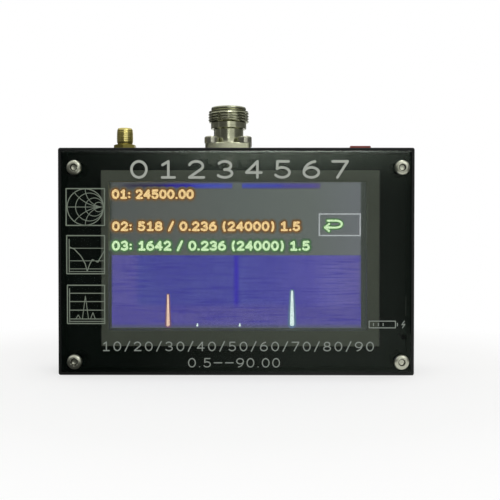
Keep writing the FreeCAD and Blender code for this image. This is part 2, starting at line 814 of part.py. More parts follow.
def n_insulator():
    bottom = CASE_H - N_REAR_DROP + N_INSULATOR_INSET
    top = CASE_H + N_INSULATOR_TOP
    plug = rod_z(N_X, CONNECTOR_Y, N_BORE_R, bottom, top)
    return plug.cut(rod_z(N_X, CONNECTOR_Y, N_STEM_R, *grown((bottom, top), PAST)))


def n_contact():
    """A socket contact with four fingers above the insulator, and a solder cup below it."""
    cup_bottom = CASE_H - N_CUP_DROP
    shoulder = CASE_H + N_INSULATOR_TOP
    tip = N_MOUTH_FLOOR - N_CONTACT_SHY
    contact = rod_z(N_X, CONNECTOR_Y, N_STEM_R, cup_bottom, shoulder)
    contact = contact.fuse(rod_z(N_X, CONNECTOR_Y, N_CONTACT_R, shoulder, tip))
    contact = contact.cut(rod_z(N_X, CONNECTOR_Y, N_PIN_HOLE_R, CASE_H + N_PIN_HOLE_FLOOR, tip + PAST))
    contact = contact.cut(rod_z(N_X, CONNECTOR_Y, N_CUP_R, cup_bottom - PAST, cup_bottom + N_CUP_DEPTH))
    wide = 2 * N_CONTACT_R
    slit_z = (CASE_H + N_SLIT_FLOOR, tip + PAST)
    for size_x, size_y in ((wide, N_SLIT_W / 2), (N_SLIT_W / 2, wide)):
        contact = contact.cut(box(about(N_X, size_x), about(CONNECTOR_Y, size_y), slit_z))
    return contact.removeSplitter()


def n_screws():
    screws = []
    crown = FLANGE_TOP + PAN_HEAD_H
    for x, y in n_screw_centres():
        head = rod_z(x, y, PAN_HEAD_R, FLANGE_TOP, crown)
        head = head.makeFillet(PAN_ROUND, [edge for edge in head.Edges if lies_in_z(edge, crown)])
        head = head.cut(cross_z(x, y, PAN_CROSS, crown))
        screws.append(head.fuse(rod_z(x, y, M3_R, FLANGE_TOP - PAN_SHANK, FLANGE_TOP)))
    return screws


def n_nuts():
    nuts = []
    for x, y in n_screw_centres():
        nut = hex_z(x, y, M3_HEX_AF, INNER_TOP - M3_NUT_T, INNER_TOP, 30)
        nuts.append(nut.cut(rod_z(x, y, M3_TAP_R, *grown((INNER_TOP - M3_NUT_T, INNER_TOP), PAST))))
    return nuts


def n_coax():
    """A thin coaxial cable, from the solder cup straight down onto the measuring board."""
    jacket_top = CASE_H - N_CUP_DROP - COAX_GAP
    jacket = rod_z(N_X, CONNECTOR_Y, COAX_R, RF_Z[1] - N_COAX_ON_BOARD, jacket_top)
    return jacket.fuse(rod_z(N_X, CONNECTOR_Y, COAX_CORE_R, jacket_top, jacket_top + COAX_CORE))


# ---------------------------------------------------------------- SMA connector


def sma_body():
    """A threaded barrel with a hexagonal flange under the top wall. Its nut sits on the wall."""
    flange_bottom = INNER_TOP - SMA_FLANGE_T
    tail_bottom = CASE_H - SMA_TAIL_DROP
    barrel = turned(SMA_X, CONNECTOR_Y, [
        (0, tail_bottom),
        (SMA_TAIL_R, tail_bottom),
        (SMA_TAIL_R, flange_bottom),
        (SMA_CORE_R, flange_bottom),
        (SMA_CORE_R, SMA_NUT_TOP),
        (SMA_R, SMA_NUT_TOP),
        (SMA_R, SMA_END - SMA_CHAMFER[1]),
        (SMA_R - SMA_CHAMFER[0], SMA_END),
        (0, SMA_END),
    ])
    body = barrel.fuse(hex_z(SMA_X, CONNECTOR_Y, SMA_NUT_AF, flange_bottom, INNER_TOP))
    mouth_floor = SMA_END - SMA_MOUTH_DEPTH
    bore_floor = CASE_H - SMA_BORE_DROP
    body = body.cut(rod_z(SMA_X, CONNECTOR_Y, SMA_MOUTH_R, mouth_floor, SMA_END + PAST))
    body = body.cut(rod_z(SMA_X, CONNECTOR_Y, SMA_BORE_R, bore_floor, SMA_END))
    cable_hole = rod_z(SMA_X, CONNECTOR_Y, COAX_R + THREAD_PLAY, tail_bottom - PAST, bore_floor + PAST)
    return body.cut(cable_hole).removeSplitter()


def sma_insulator():
    bottom = CASE_H - SMA_BORE_DROP
    top = SMA_END - SMA_MOUTH_DEPTH
    plug = rod_z(SMA_X, CONNECTOR_Y, SMA_BORE_R, bottom, top)
    return plug.cut(rod_z(SMA_X, CONNECTOR_Y, SMA_PIN_R, *grown((bottom, top), PAST)))


def sma_contact():
    top = SMA_END - SMA_MOUTH_DEPTH
    pin = rod_z(SMA_X, CONNECTOR_Y, SMA_PIN_R, CASE_H - SMA_PIN_DROP, top)
    return pin.cut(rod_z(SMA_X, CONNECTOR_Y, SMA_PIN_HOLE_R, top - SMA_PIN_HOLE_DEPTH, top + PAST))


def sma_hole(z):
    """The cutter of the hole in the washer and the nut."""
    return rod_z(SMA_X, CONNECTOR_Y, SMA_CORE_R + THREAD_PLAY, *grown(z, PAST))


def sma_washer():
    level = (CASE_H, SMA_NUT_BOTTOM)
    return rod_z(SMA_X, CONNECTOR_Y, SMA_WASHER_R, *level).cut(sma_hole(level))


def sma_nut():
    level = (SMA_NUT_BOTTOM, SMA_NUT_TOP)
    nut = hex_z(SMA_X, CONNECTOR_Y, SMA_NUT_AF, *level, SMA_NUT_TURN)
    corner_r = SMA_NUT_AF / math.sqrt(3) + THREAD_PLAY
    crown = turned(SMA_X, CONNECTOR_Y, [
        (0, SMA_NUT_BOTTOM),
        (corner_r, SMA_NUT_BOTTOM),
        (corner_r, SMA_NUT_TOP - SMA_NUT_CHAMFER),
        (SMA_NUT_AF / 2, SMA_NUT_TOP),
        (0, SMA_NUT_TOP),
    ])
    return nut.common(crown).cut(sma_hole(level))


def sma_coax():
    jacket_top = CASE_H - SMA_PIN_DROP - COAX_GAP / 2
    return rod_z(SMA_X, CONNECTOR_Y, COAX_R, RF_Z[1] - SMA_COAX_ON_BOARD, jacket_top)


# ---------------------------------------------------------------- power rocker


def around_rocker(half_x, half_y, z):
    return box(about(ROCKER_X, half_x), about(ROCKER_Y, half_y), z)


def trunnions(radius, half_length):
    start = Vector(ROCKER_X - half_length, ROCKER_Y, ROCKER_PIVOT_Z)
    return Part.makeCylinder(radius, 2 * half_length, start, ACROSS)


def rocker_housing():
    """The bezel on the wall, the box below it, snap tabs, a well for the key and two pivot holes."""
    bezel_top = CASE_H + BEZEL[2]
    bezel = around_rocker(BEZEL[0] / 2, BEZEL[1] / 2, (CASE_H, bezel_top))
    bezel = rounded_along(bezel, UP, BEZEL_CORNER_R)
    bezel = bezel.makeFillet(BEZEL_EDGE_R, [edge for edge in bezel.Edges if lies_in_z(edge, bezel_top)])
    half_x = ROCKER_BODY[0] / 2
    half_y = ROCKER_BODY[1] / 2
    body = around_rocker(half_x, half_y, (CASE_H - ROCKER_BODY[2], CASE_H))
    tabs = around_rocker(SNAP_TAB[0], half_y + SNAP_TAB[1], (INNER_TOP - SNAP_TAB[2], INNER_TOP))
    well_z = (CASE_H - ROCKER_WELL, bezel_top + PAST)
    well = around_rocker(ROCKER_HALF_W + ROCKER_SIDE_PLAY, ROCKER_R + ROCKER_END_PLAY, well_z)
    housing = joined([bezel, body, tabs]).cut(well)
    housing = housing.cut(trunnions(TRUNNION_R + TRUNNION_PLAY, ROCKER_HALF_W + TRUNNION_OUT + CUTOUT_PLAY))
    return housing.cut(Part.makeCompound(rocker_terminals())).removeSplitter()


def rocker_button():
    """A dished key, turned about its trunnions so that its front end stands up."""
    def at(y, z):
        return Vector(0, ROCKER_Y + y, ROCKER_PIVOT_Z + z)

    top_y = math.sqrt(ROCKER_R ** 2 - ROCKER_TOP ** 2)
    low_y = math.sqrt(ROCKER_R ** 2 - ROCKER_SKIRT ** 2)
    valley = ROCKER_TOP - ROCKER_DISH
    outline = [
        Part.Arc(at(-low_y, -ROCKER_SKIRT), at(-ROCKER_R, 0), at(-top_y, ROCKER_TOP)),
        Part.LineSegment(at(-top_y, ROCKER_TOP), at(0, valley)),
        Part.LineSegment(at(0, valley), at(top_y, ROCKER_TOP)),
        Part.Arc(at(top_y, ROCKER_TOP), at(ROCKER_R, 0), at(low_y, -ROCKER_SKIRT)),
        Part.LineSegment(at(low_y, -ROCKER_SKIRT), at(-low_y, -ROCKER_SKIRT)),
    ]
    key = Part.Face(Part.Wire([piece.toShape() for piece in outline]))
    key = key.extrude(Vector(2 * ROCKER_HALF_W, 0, 0))
    key.translate(Vector(ROCKER_X - ROCKER_HALF_W, 0, 0))
    above_valley = ROCKER_PIVOT_Z + valley - TINY
    slopes = [edge for edge in key.Edges if edge.BoundBox.ZMin > above_valley and edge.BoundBox.YLength > 1]
    ends = [edge for edge in key.Edges if lies_in_z(edge, ROCKER_PIVOT_Z + ROCKER_TOP)]
    key = key.makeFillet(ROCKER_EDGE_R, slopes + ends)
    skirt_z = ROCKER_PIVOT_Z - ROCKER_SKIRT
    actuator = around_rocker(ACTUATOR[0], ACTUATOR[1], (skirt_z - ACTUATOR[2], ROCKER_PIVOT_Z))
    key = joined([key, actuator, trunnions(TRUNNION_R, ROCKER_HALF_W + TRUNNION_OUT)])
    key.rotate(Vector(ROCKER_X, ROCKER_Y, ROCKER_PIVOT_Z), ACROSS, -ROCKER_REST_DEG)
    return key


def rocker_terminals():
    width = about(ROCKER_X, TERMINAL_W / 2)
    height = (TERMINAL_END, TERMINAL_END + TERMINAL_L)
    return [box(width, about(y, TERMINAL_T / 2), height) for y in about(ROCKER_Y, TERMINAL_SPREAD)]


def switch_leads():
    """One wire from each terminal, down and then forwards onto the main board."""
    leads = []
    for side, drop, bend in SWITCH_LEADS:
        y = ROCKER_Y + side * TERMINAL_SPREAD
        landing = TERMINAL_END - drop
        corner = Vector(ROCKER_X, y, landing)
        points = (Vector(ROCKER_X, y, TERMINAL_END), corner, Vector(ROCKER_X, BOARD_BACK, landing))
        leads.append(lead(points, bend, SWITCH_LEAD_R))
    return leads


# ---------------------------------------------------------------- reset key


def reset_body():
    half = RESET_BODY / 2
    back = BOARD_BACK + RESET_BODY_T
    body = box(about(RESET_X, half), (BOARD_BACK, back), about(RESET_Z, half))
    guide = rod_y(RESET_X, RESET_Z, RESET_KEY_R + RESET_KEY_PLAY, BOARD_BACK + RESET_FLOOR, back + PAST)
    return body.cut(guide)


def reset_key():
    bottom = BOARD_BACK + RESET_FLOOR + RESET_TRAVEL + RESET_SPARE
    return rod_y(RESET_X, RESET_Z, RESET_KEY_R, bottom, BOARD_BACK + RESET_BODY_T + RESET_KEY_OUT)


# ---------------------------------------------------------------- battery


def battery_cell():
    back = COVER_FRONT - BATTERY_TAPE_T
    return rounded_along(box(BATTERY_X, (back - BATTERY_T, back), BATTERY_Z), UP, BATTERY_EDGE_R)


def battery_tape():
    tape_x = grown(BATTERY_X, -BATTERY_TAPE_INSET[0])
    tape_z = grown(BATTERY_Z, -BATTERY_TAPE_INSET[1])
    return box(tape_x, (COVER_FRONT - BATTERY_TAPE_T, COVER_FRONT), tape_z)


def battery_header():
    shroud = box(grown(PLUG_X, HEADER_WALL), (BOARD_BACK, BOARD_BACK + HEADER_H), grown(PLUG_Z, HEADER_WALL))
    hollow_y = (BOARD_BACK + HEADER_FLOOR, BOARD_BACK + HEADER_H + PAST)
    return shroud.cut(box(grown(PLUG_X, PLUG_PLAY), hollow_y, grown(PLUG_Z, PLUG_PLAY)))


def battery_plug():
    return box(PLUG_X, PLUG_Y, PLUG_Z)


def battery_lead(x_offset, y):
    """A wire out of the plug and then sideways into the end of the cell, at depth y."""
    z = sum(PLUG_Z) / 2
    x = sum(PLUG_X) / 2 + x_offset
    points = (Vector(x, PLUG_Y[1], z), Vector(x, y, z), Vector(BATTERY_X[1], y, z))
    return lead(points, (y - PLUG_Y[1]) * BATTERY_LEAD_BEND, BATTERY_LEAD_R)


# ---------------------------------------------------------------- writing the nodes


def write(name, shapes):
    """Writes one node: a solid, or a group of separate solids."""
    solids = shapes if isinstance(shapes, list) else [shapes]
    for solid in solids:
        if not solid.isValid() or len(solid.Solids) != 1:
            raise ValueError("%s: %d solids, valid %s" % (name, len(solid.Solids), solid.isValid()))
    bare = [solid.Solids[0] for solid in solids]
    shape = bare[0] if len(bare) == 1 else Part.makeCompound(bare)
    shape.exportStep("parts/%s.step" % name)
    bounds = shape.BoundBox
    corners = (bounds.XMin, bounds.XMax, bounds.YMin, bounds.YMax, bounds.ZMin, bounds.ZMax)
    size = "x %.2f %.2f  y %.2f %.2f  z %.2f %.2f" % corners
    print("%-18s %2d solid(s) %9.2f mm3  %s" % (name, len(solids), shape.Volume, size))


os.makedirs("parts", exist_ok=True)

write("case_frame", case_frame())
write("front_panel", front_panel())
write("rear_cover", rear_cover())
write("front_screws", front_screws())
write("rear_screws", rear_screws())
write("panel_standoffs", panel_standoffs())

write("lcd_gasket", lcd_gasket())
write("touch_glass", touch_glass())
write("lcd_cell", lcd_cell())
write("lcd_backlight", lcd_backlight())
write("lcd_frame", lcd_frame())
write("lcd_flex", lcd_flex())
write("flex_socket", flex_socket())
write("lcd_pads", lcd_pads())

write("main_board", main_board())
write("board_chips", board_chips())
write("rf_board", rf_board())
write("rf_shield", rf_shield())
write("rf_standoffs", rf_standoffs())
write("rf_nuts", rf_nuts())
write("rf_screws", rf_screws())
write("header_socket", header_block((BOARD_BACK, BOARD_BACK + HEADER_SOCKET_H)))
write("header_strip", header_block((BOARD_BACK + HEADER_SOCKET_H, RF_FRONT)))
write("header_pins", header_pins())
write("charge_led", charge_led())
write("charge_socket", usb_socket(1))
write("data_socket", usb_socket(-1))
write("card_socket", card_socket())
write("memory_card", memory_card())

write("n_body", n_body())
write("n_insulator", n_insulator())
write("n_contact", n_contact())
write("n_screws", n_screws())
write("n_nuts", n_nuts())
write("n_coax", n_coax())

write("sma_body", sma_body())
write("sma_insulator", sma_insulator())
write("sma_contact", sma_contact())
write("sma_washer", sma_washer())
write("sma_nut", sma_nut())
write("sma_coax", sma_coax())

write("rocker_housing", rocker_housing())
write("rocker_button", rocker_button())
write("rocker_terminals", rocker_terminals())
write("switch_leads", switch_leads())

write("reset_body", reset_body())
write("reset_key", reset_key())

write("battery_cell", battery_cell())
write("battery_tape", battery_tape())
write("battery_header", battery_header())
write("battery_plug", battery_plug())
write("battery_lead_red", battery_lead(*RED_LEAD))
write("battery_lead_black", battery_lead(*BLACK_LEAD))
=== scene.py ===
import math

import bmesh
import bpy
import numpy as np
from mathutils import Matrix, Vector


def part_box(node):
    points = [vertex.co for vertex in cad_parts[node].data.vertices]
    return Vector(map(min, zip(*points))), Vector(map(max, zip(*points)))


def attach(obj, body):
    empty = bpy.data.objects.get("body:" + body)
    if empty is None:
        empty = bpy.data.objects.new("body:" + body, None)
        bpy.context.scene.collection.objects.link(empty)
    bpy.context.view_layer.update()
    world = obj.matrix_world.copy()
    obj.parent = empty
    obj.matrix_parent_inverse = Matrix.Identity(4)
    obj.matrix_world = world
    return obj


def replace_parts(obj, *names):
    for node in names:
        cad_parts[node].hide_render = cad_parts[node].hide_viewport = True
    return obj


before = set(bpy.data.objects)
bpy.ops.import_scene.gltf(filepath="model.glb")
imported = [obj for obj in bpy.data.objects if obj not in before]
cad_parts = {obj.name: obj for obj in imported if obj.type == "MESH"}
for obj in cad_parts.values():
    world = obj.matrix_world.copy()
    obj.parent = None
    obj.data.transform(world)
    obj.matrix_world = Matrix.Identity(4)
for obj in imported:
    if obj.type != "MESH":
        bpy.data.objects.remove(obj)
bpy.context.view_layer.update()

# Looks of a hand-held antenna analyzer: a lit display behind a smoked panel in a black case,
# with an N socket, an SMA socket and a red rocker on top.
# Shapes are worked out in millimetres on the frame's axes; add_piece turns them into metres.

MM = 0.001


def box_mm(node):
    """Lowest and highest corner of a CAD node, in millimetres."""
    return np.array([list(corner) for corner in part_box(node)]) / MM


# ---------------------------------------------------------------- sizes and places, in mm

CASE_TOP = box_mm("case_frame")[1][2]
PANEL_FACE, PANEL_BACK = box_mm("front_panel")[:, 1]
CELL_FACE = box_mm("lcd_cell")[0][1]

# The N socket: radii of its stretches, heights above the case, and the thread's pitch and depth. A chamfer is
# given as how far it goes in and how far it goes along.
N_LOW, N_HIGH = box_mm("n_body")
N_AXIS = (N_LOW + N_HIGH)[:2] / 2
N_BOTTOM = N_LOW[2]
N_TOP = N_HIGH[2]
N_FLANGE_HALF = (N_HIGH[0] - N_LOW[0]) / 2
N_PAN_HEAD = 2.6
N_FLANGE_TOP = box_mm("n_screws")[1][2] - N_PAN_HEAD
N_FLANGE_CORNER = 1.2
N_REAR_R = 4.75
N_NECK_R = 5.8
N_NECK_FOOT = 0.4
N_NECK_FLARE = 0.3
N_COLLAR_R = 6.95
N_CREST_R = 7.94
N_CREST_FOOT = (0.5, 0.35)
N_CREST_END = (0.24, 0.45)
N_LIP_R = 6.85
N_LIP_FOOT_R = 6.35
N_LIP_RISE = 0.75
N_LIP_END = (0.18, 0.35)
N_MOUTH_R = 4.15
N_BORE_R = 3.5
N_NECK_TOP = CASE_TOP + 8.9
N_COLLAR_TOP = CASE_TOP + 11.3
N_CREST_TOP = CASE_TOP + 15.7
N_MOUTH_FLOOR = N_TOP - 4.9
N_THREAD = (1.058, 0.36)

# The SMA socket. The relief's end, the thread's foot and its first full crest are heights above the nut, and
# the tip's taper is (in from the crest, down from the tip).
SMA_LOW, SMA_HIGH = box_mm("sma_body")
SMA_AXIS = (SMA_LOW + SMA_HIGH)[:2] / 2
SMA_NUT_TOP = box_mm("sma_nut")[1][2]
SMA_TAIL_R = 2.2
SMA_FLANGE_R = 3.6
SMA_FLANGE_H = 2.0
SMA_RELIEF_R = 2.9
SMA_RELIEF_END = 0.6
SMA_FOOT_H = 0.95
SMA_FOOT_IN = 0.06
SMA_FULL_CREST_H = 2.6
SMA_CREST_R = 3.175
SMA_TAPER = ((0.04, 1.9), (0.15, 0.6))
SMA_TIP_R = 2.68
SMA_MOUTH_R = 2.35
SMA_BORE_R = 2.05
SMA_CABLE_R = 1.3
SMA_MOUTH_FLOOR = SMA_HIGH[2] - 1.9
SMA_BORE_FLOOR = CASE_TOP - 5.0
SMA_THREAD = (0.706, 0.022)
INNER_TOP = CASE_TOP - 1.1

# Socket button-head screws: radii, and heights over the face under the head. The key socket's floor is a
# flat rim, KEY_RIM of the hexagon's reach, round a drilled point. The dark finish of painted shade in the
# socket is for its walls and flat rim, no farther out than KEY_INSIDE of that reach; the drilled point keeps
# the bright finish.
HEAD_R = 2.85
HEAD_H = 1.65
HEAD_EDGE = 0.25
HEAD_BULGE = 0.36
CROWN_R = 1.75
SHANK_R = 1.45
SHANK_POINT = 0.3
KEY_FLAT = 1.2
KEY_RIM = 0.8
KEY_INSIDE = 1.1
KEY_FLOOR = 0.75
KEY_POINT = 0.25
DOME_STEPS = 9
SCREW_STEP_DEG = 5

# Turned and milled pieces: how far an edge is broken, points round, and the longest steps along a profile.
BREAK = 0.12
AROUND = 120
COARSE = 2.0
TEETH_PER_PITCH = 12
CORNER_STEPS = 7

# Every piece: the edge angle from which it shades sharp, and how close two points have to be to be one.
SHARP_DEG = 35.0
MERGED = 1e-3

# The foam frame between the panel and the touch glass, and the window in it. The foam is cut a little
# short of its solid at both ends, and the window's walls lean in towards the glass.
FOAM_LOW, FOAM_HIGH = box_mm("lcd_gasket")
FOAM_SHORT = 0.7
FOAM_WINDOW_X = (-47.9, 49.1)
FOAM_WINDOW_Z = (16.6, 72.6)
FOAM_LEAN = 0.3
FOAM_SET_BACK = 0.03

# Marks on the panel: left, right, low and high edge, the width of their strokes, and the gap between signs as
# a share of a sign's height.
INK_T = 0.03
SIGN_GAP = 0.3
TITLE_X = (-39.4, 41.9)
TITLE_Z = (73.4, 80.3)
TITLE_DIGITS = "01234567"
TITLE_DIGIT_W = 6.5
TITLE_STROKE = 0.95
SCALE_X = (-50.0, 51.4)
SCALE_Z = (9.1, 12.7)
SCALE_STROKE = 0.42
SCALE_GAP = 0.42
RANGE_X = (-17.9, 16.4)
RANGE_Z = (3.0, 6.55)
RANGE_STROKE = 0.4
RANGE_GAP = 0.34
BATTERY_MARK_X = (49.6, 59.4)
BATTERY_MARK_Z = (17.9, 20.4)
BATTERY_POLE = (0.7, 0.5)
BATTERY_BARS = (1.6, 3.4, 5.2)
BATTERY_BAR_GAP = 0.8
BOLT_AWAY = 2.9
CHARTS = (
    ((-63.3, -49.0), (56.0, 69.7)),
    ((-63.1, -49.0), (38.0, 52.2)),
    ((-62.9, -49.0), (19.4, 33.7)),
)
CHART_MARGIN = 0.3
SMITH_MARGIN = 0.1
FRAME_STROKE = 0.42
CURVE_STROKE = 0.34
FAINT_STROKE = 0.26

# The lit picture, on the display's own glass.
LIT_X = (-47.1, 47.1)
LIT_Z = (17.3, 72.35)
LIT_T = 0.03
# The border: a painted glow that fills the shaded gap between the foam window and the picture.
BORDER_X = (-47.85, 49.05)
BORDER_Z = (16.65, 72.55)

# Its colours: of the figures, of the halo close round them and of the haze farther out.
TINTS = {
    "orange": {"lit": "fbda9a", "halo": "7a5128", "haze": "68604f"},
    "green": {"lit": "dafbc6", "halo": "4d7a48", "haze": "56685a"},
    "peach": {"lit": "f2d2ba", "halo": "775a76"},
    "ice": {"lit": "e4fbf6", "halo": "5f7796"},
    "grey": {"lit": "b4b9bb"},
    # border: a painted glow round the picture that lightens the shaded gap inside the foam window
    "border": {"lit": "434843"},
}
LINES = (
    ("01: 24500.00", (-47.0, -16.0), (66.0, 69.7), "orange"),
    ("02: 518 / 0.236 (24000) 1.5", (-47.0, 24.2), (53.9, 57.6), "orange"),
    ("03: 1642 / 0.236 (24000) 1.5", (-47.0, 27.8), (46.5, 50.3), "green"),
)
LINE_STROKE = 0.88
LINE_HALO = 1.85
LINE_HAZE = 3.0

# The outlined key and the return arrow in it, its bend as arc's arguments.
SCREEN_KEY_X = (31.3, 46.7)
SCREEN_KEY_Z = (52.3, 60.4)
SCREEN_KEY_STROKE = 0.5
ARROW_START = ((34.4, 57.9), (37.6, 57.9))
ARROW_BEND = (37.6, 56.6, 2.2, 1.3, 90, -90, 14)
ARROW_REST = (((37.6, 55.3), (33.6, 55.3)), ((33.4, 55.3), (35.0, 56.6)), ((33.4, 55.3), (35.0, 54.0)))
ARROW_STROKE = 0.75
ARROW_HALO = 1.7

# The two soft bars along the top: their ends, and their colours from left to right. Upwards, BAR_PROFILE
# gives the share of those colours in the grey round them.
BARS_Z = (69.75, 72.3)
BAR_LEFT = ((-44.5, -1.5), (
    (0.0, "55585a"), (0.08, "3c3b4c"), (0.2, "2f2c48"), (0.38, "2a2260"), (0.45, "2a1c90"),
    (0.62, "2c26a6"), (0.72, "3f4abc"), (0.9, "4450b8"), (1.0, "4a52a8"),
))
BAR_RIGHT = ((2.2, 31.7), (
    (0.0, "3f4cb4"), (0.45, "3c40ac"), (0.55, "4a449c"), (0.9, "544a98"), (1.0, "5c5488"),
))
BAR_PROFILE = ((0.0, 0.0), (0.25, 0.6), (0.4, 0.75), (0.5, 1.0), (0.62, 0.75), (0.78, 0.55), (1.0, 0.0))
BAR_ROUND = "5a5d5e"

# The fields behind the figures, from left to right: the grey upper one and the blue graph.
UPPER_GREYS = (
    (0.0, "4c524e"), (0.008, "575c5a"), (0.2, "5c605c"), (0.5, "606763"), (0.8, "666d69"),
    (0.992, "6c7174"), (1.0, "5a605e"),
)
GRAPH_BLUES = (
    (0.0, "565878"), (0.008, "6662a0"), (0.09, "6460a2"), (0.115, "52569c"), (0.484, "5254a0"),
    (0.492, "4844aa"), (0.5, "3c32b0"), (0.508, "4844aa"), (0.516, "5356a2"), (0.8, "5a56a4"),
    (0.88, "6a66aa"), (0.99, "6862a0"), (1.0, "5c5f70"),
)
GRAPH_TOP = 44.8
GRAPH_TOP_SOFT = 0.15
GRAPH_FOOT = (27.0, 24.6)
GRAPH_RIM = 1.9
FOOT_BLUE = "5f5a9c"
STREAK_BLUE = "352f94"
CLOUD_BLUE = "413c94"
RIM_GREY = "5b5f6c"

# The graph's streaks: how long and how high one is in mm, and the greatest share of their blue. Where the
# noise is above the first of STREAK_FROM a streak begins, and at the second it is full.
STREAKS_ALONG = (16.0, 0.55, 0.5)
STREAKS_UP = (0.6, 9.0, 0.2)
STREAK_FROM = (0.5, 0.64)
CLOUD_MM = 14
CLOUD_SHARE = (-0.4, 0.6)

# Spikes in the graph: place, height and foot width in mm, and tint. The small sparks start and end at
# SPARK_Z over its foot.
SPIKES = ((-25.8, 30.9, 1.2, "peach"), (21.05, 32.7, 1.6, "ice"))
SPIKE_TAPER = 0.5
SPIKE_HALO = 2.1
SPIKE_HALO_TAPER = 0.45
SPARKS = (-14.7, 1.35)
SPARK_Z = (0.9, 1.7)
SPARK_STROKE = 0.75
SPARK_TAPER = 0.6

# The rocker at rest: how it is turned, its pivot, and the two slopes of its top about the valley between.
ROCKER_TURN = -7.0
ROCKER_PIVOT_Z = 84.0
ROCKER_VALLEY = 2.05
ROCKER_SLOPE = 4.49

# Its marks: how far out from the valley they are, the stroke's half length, and the ring's half sizes.
ROCKER_MARK_OUT = 3.0
ROCKER_MARK_STROKE = 0.35
ROCKER_STROKE_HALF = 1.1
ROCKER_RING = (1.0, 1.1)

# ---------------------------------------------------------------- meshes


def grid_quads(rows, columns, close_rows=False, close_columns=False):
    """Quads of a grid of points numbered row by row. A closed direction joins its last line to its first."""
    row = np.arange(rows if close_rows else rows - 1)
    column = np.arange(columns if close_columns else columns - 1)
    row, column = np.meshgrid(row, column, indexing="ij")
    start = row * columns
    below = (row + 1) % rows * columns
    beside = (column + 1) % columns
    corners = [start + column, start + beside, below + beside, below + column]
    return np.stack(corners, axis=-1).reshape(-1, 4)


def placed(name, data):
    """Puts an object for a mesh, a lamp or a camera into the scene."""
    holder = bpy.data.objects.new(name, data)
    bpy.context.scene.collection.objects.link(holder)
    return holder


def add_piece(name, points, faces, material, body="case", slot=None):
    """Makes one closed mesh of the object from points in millimetres, and lets it ride on its body."""
    mesh = bpy.data.meshes.new(name)
    mesh.from_pydata((np.asarray(points) * MM).tolist(), [], [list(map(int, face)) for face in faces])
    work = bmesh.new()
    work.from_mesh(mesh)
    bmesh.ops.remove_doubles(work, verts=work.verts, dist=MERGED * MM)
    bmesh.ops.recalc_face_normals(work, faces=work.faces)
    work.to_mesh(mesh)
    work.free()
    mesh.shade_smooth()
    mesh.set_sharp_from_angle(angle=math.radians(SHARP_DEG))
    mesh.materials.append(material)
    piece = placed(name, mesh)
    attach(piece, body)
    return piece


def joined(parts):
    """Several (points, faces) meshes as one."""
    points = []
    faces = []
    count = 0
    for part_points, part_faces in parts:
        points.append(part_points)
        faces.extend([[corner + count for corner in face] for face in part_faces])
        count += len(part_points)
    return np.vstack(points), faces


def with_runs(corners, pitch):
    """Closed profile corners (radius, height, threaded) with points added along each straight run:
    a twelfth of a pitch apart where both ends are threaded, and COARSE apart elsewhere."""
    runs = []
    for start, end in zip(corners, np.roll(corners, -1, axis=0)):
        step = pitch / TEETH_PER_PITCH if start[2] and end[2] else COARSE
        count = max(1, math.ceil(np.linalg.norm((end - start)[:2]) / step))
        runs.append(start + (end - start) * np.linspace(0, 1, count, endpoint=False)[:, None])
    return np.vstack(runs)


def turned(corners, axis, thread):
    """A closed profile carried round an upright axis, with a right-handed thread cut in its threaded run.
    At turn t, a point is at radius r - threaded * depth * tooth, where tooth is a flattened triangle wave
    of z / pitch - t / (2 pi)."""
    pitch, depth = thread
    profile = with_runs(np.array(corners, float), pitch)
    turn = np.linspace(0, 2 * np.pi, AROUND, endpoint=False)[:, None]
    radius, height, threaded = profile.T
    phase = (height / pitch - turn / (2 * np.pi)) % 1.0
    tooth = np.clip(1.5 * np.abs(2 * phase - 1) - 0.25, 0, 1)
    reach = radius - threaded * depth * tooth
    level = np.broadcast_to(height, reach.shape)
    points = np.stack([axis[0] + reach * np.cos(turn), axis[1] + reach * np.sin(turn), level], axis=-1)
    return points.reshape(-1, 3), grid_quads(AROUND, len(profile), close_rows=True, close_columns=True)


def round_square(half, corner):
    """Outline of a square with round corners: each corner is a quarter circle about (half - corner)."""
    turn = np.radians(np.concatenate([np.linspace(0, 90, CORNER_STEPS) + 90 * side for side in range(4)]))
    side = np.repeat(np.arange(4), CORNER_STEPS)
    middle = (half - corner) * np.sqrt(2)
    towards = np.radians(45 + 90 * side)
    x = middle * np.cos(towards) + corner * np.cos(turn)
    y = middle * np.sin(towards) + corner * np.sin(turn)
    return np.column_stack([x, y])


def square_plate(half, corner, centre, low, high):
    """A square plate with round corners and broken edges: its outline is repeated at four levels,
    drawn in by BREAK at the lowest and the highest."""
    levels = ((BREAK, low), (0, low + BREAK), (0, high - BREAK), (BREAK, high))
    rings = []
    for inset, height in levels:
        outline = round_square(half - inset, corner - inset) + centre
        rings.append(np.column_stack([outline, np.full(len(outline), height)]))
    across = len(rings[0])
    faces = grid_quads(len(levels), across, close_columns=True).tolist()
    faces.append(list(range(across)))
    faces.append(list(range(across * (len(levels) - 1), across * len(levels))))
    return np.vstack(rings), faces


# ---------------------------------------------------------------- drawn strokes


def arc(x, z, wide, high, start, end, steps=16):
    """Points x + wide cos a, z + high sin a, for a from start to end degrees."""
    turn = np.radians(np.linspace(start, end, steps))
    return np.column_stack([x + wide * np.cos(turn), z + high * np.sin(turn)])


def line(*points):
    """A path straight from point to point."""
    return np.array(points, float)


TWO = np.vstack([arc(0.30, 0.71, 0.28, 0.29, 165, -35), line((0.02, 0.0))])
FIVE_BOWL = arc(0.29, 0.31, 0.31, 0.31, 132, -150)
SIX = [arc(0.31, 0.31, 0.31, 0.31, 0, 360, 28), arc(0.56, 0.31, 0.56, 0.69, 180, 100)]
NINE = [np.array([0.62, 1.0]) - path for path in SIX]

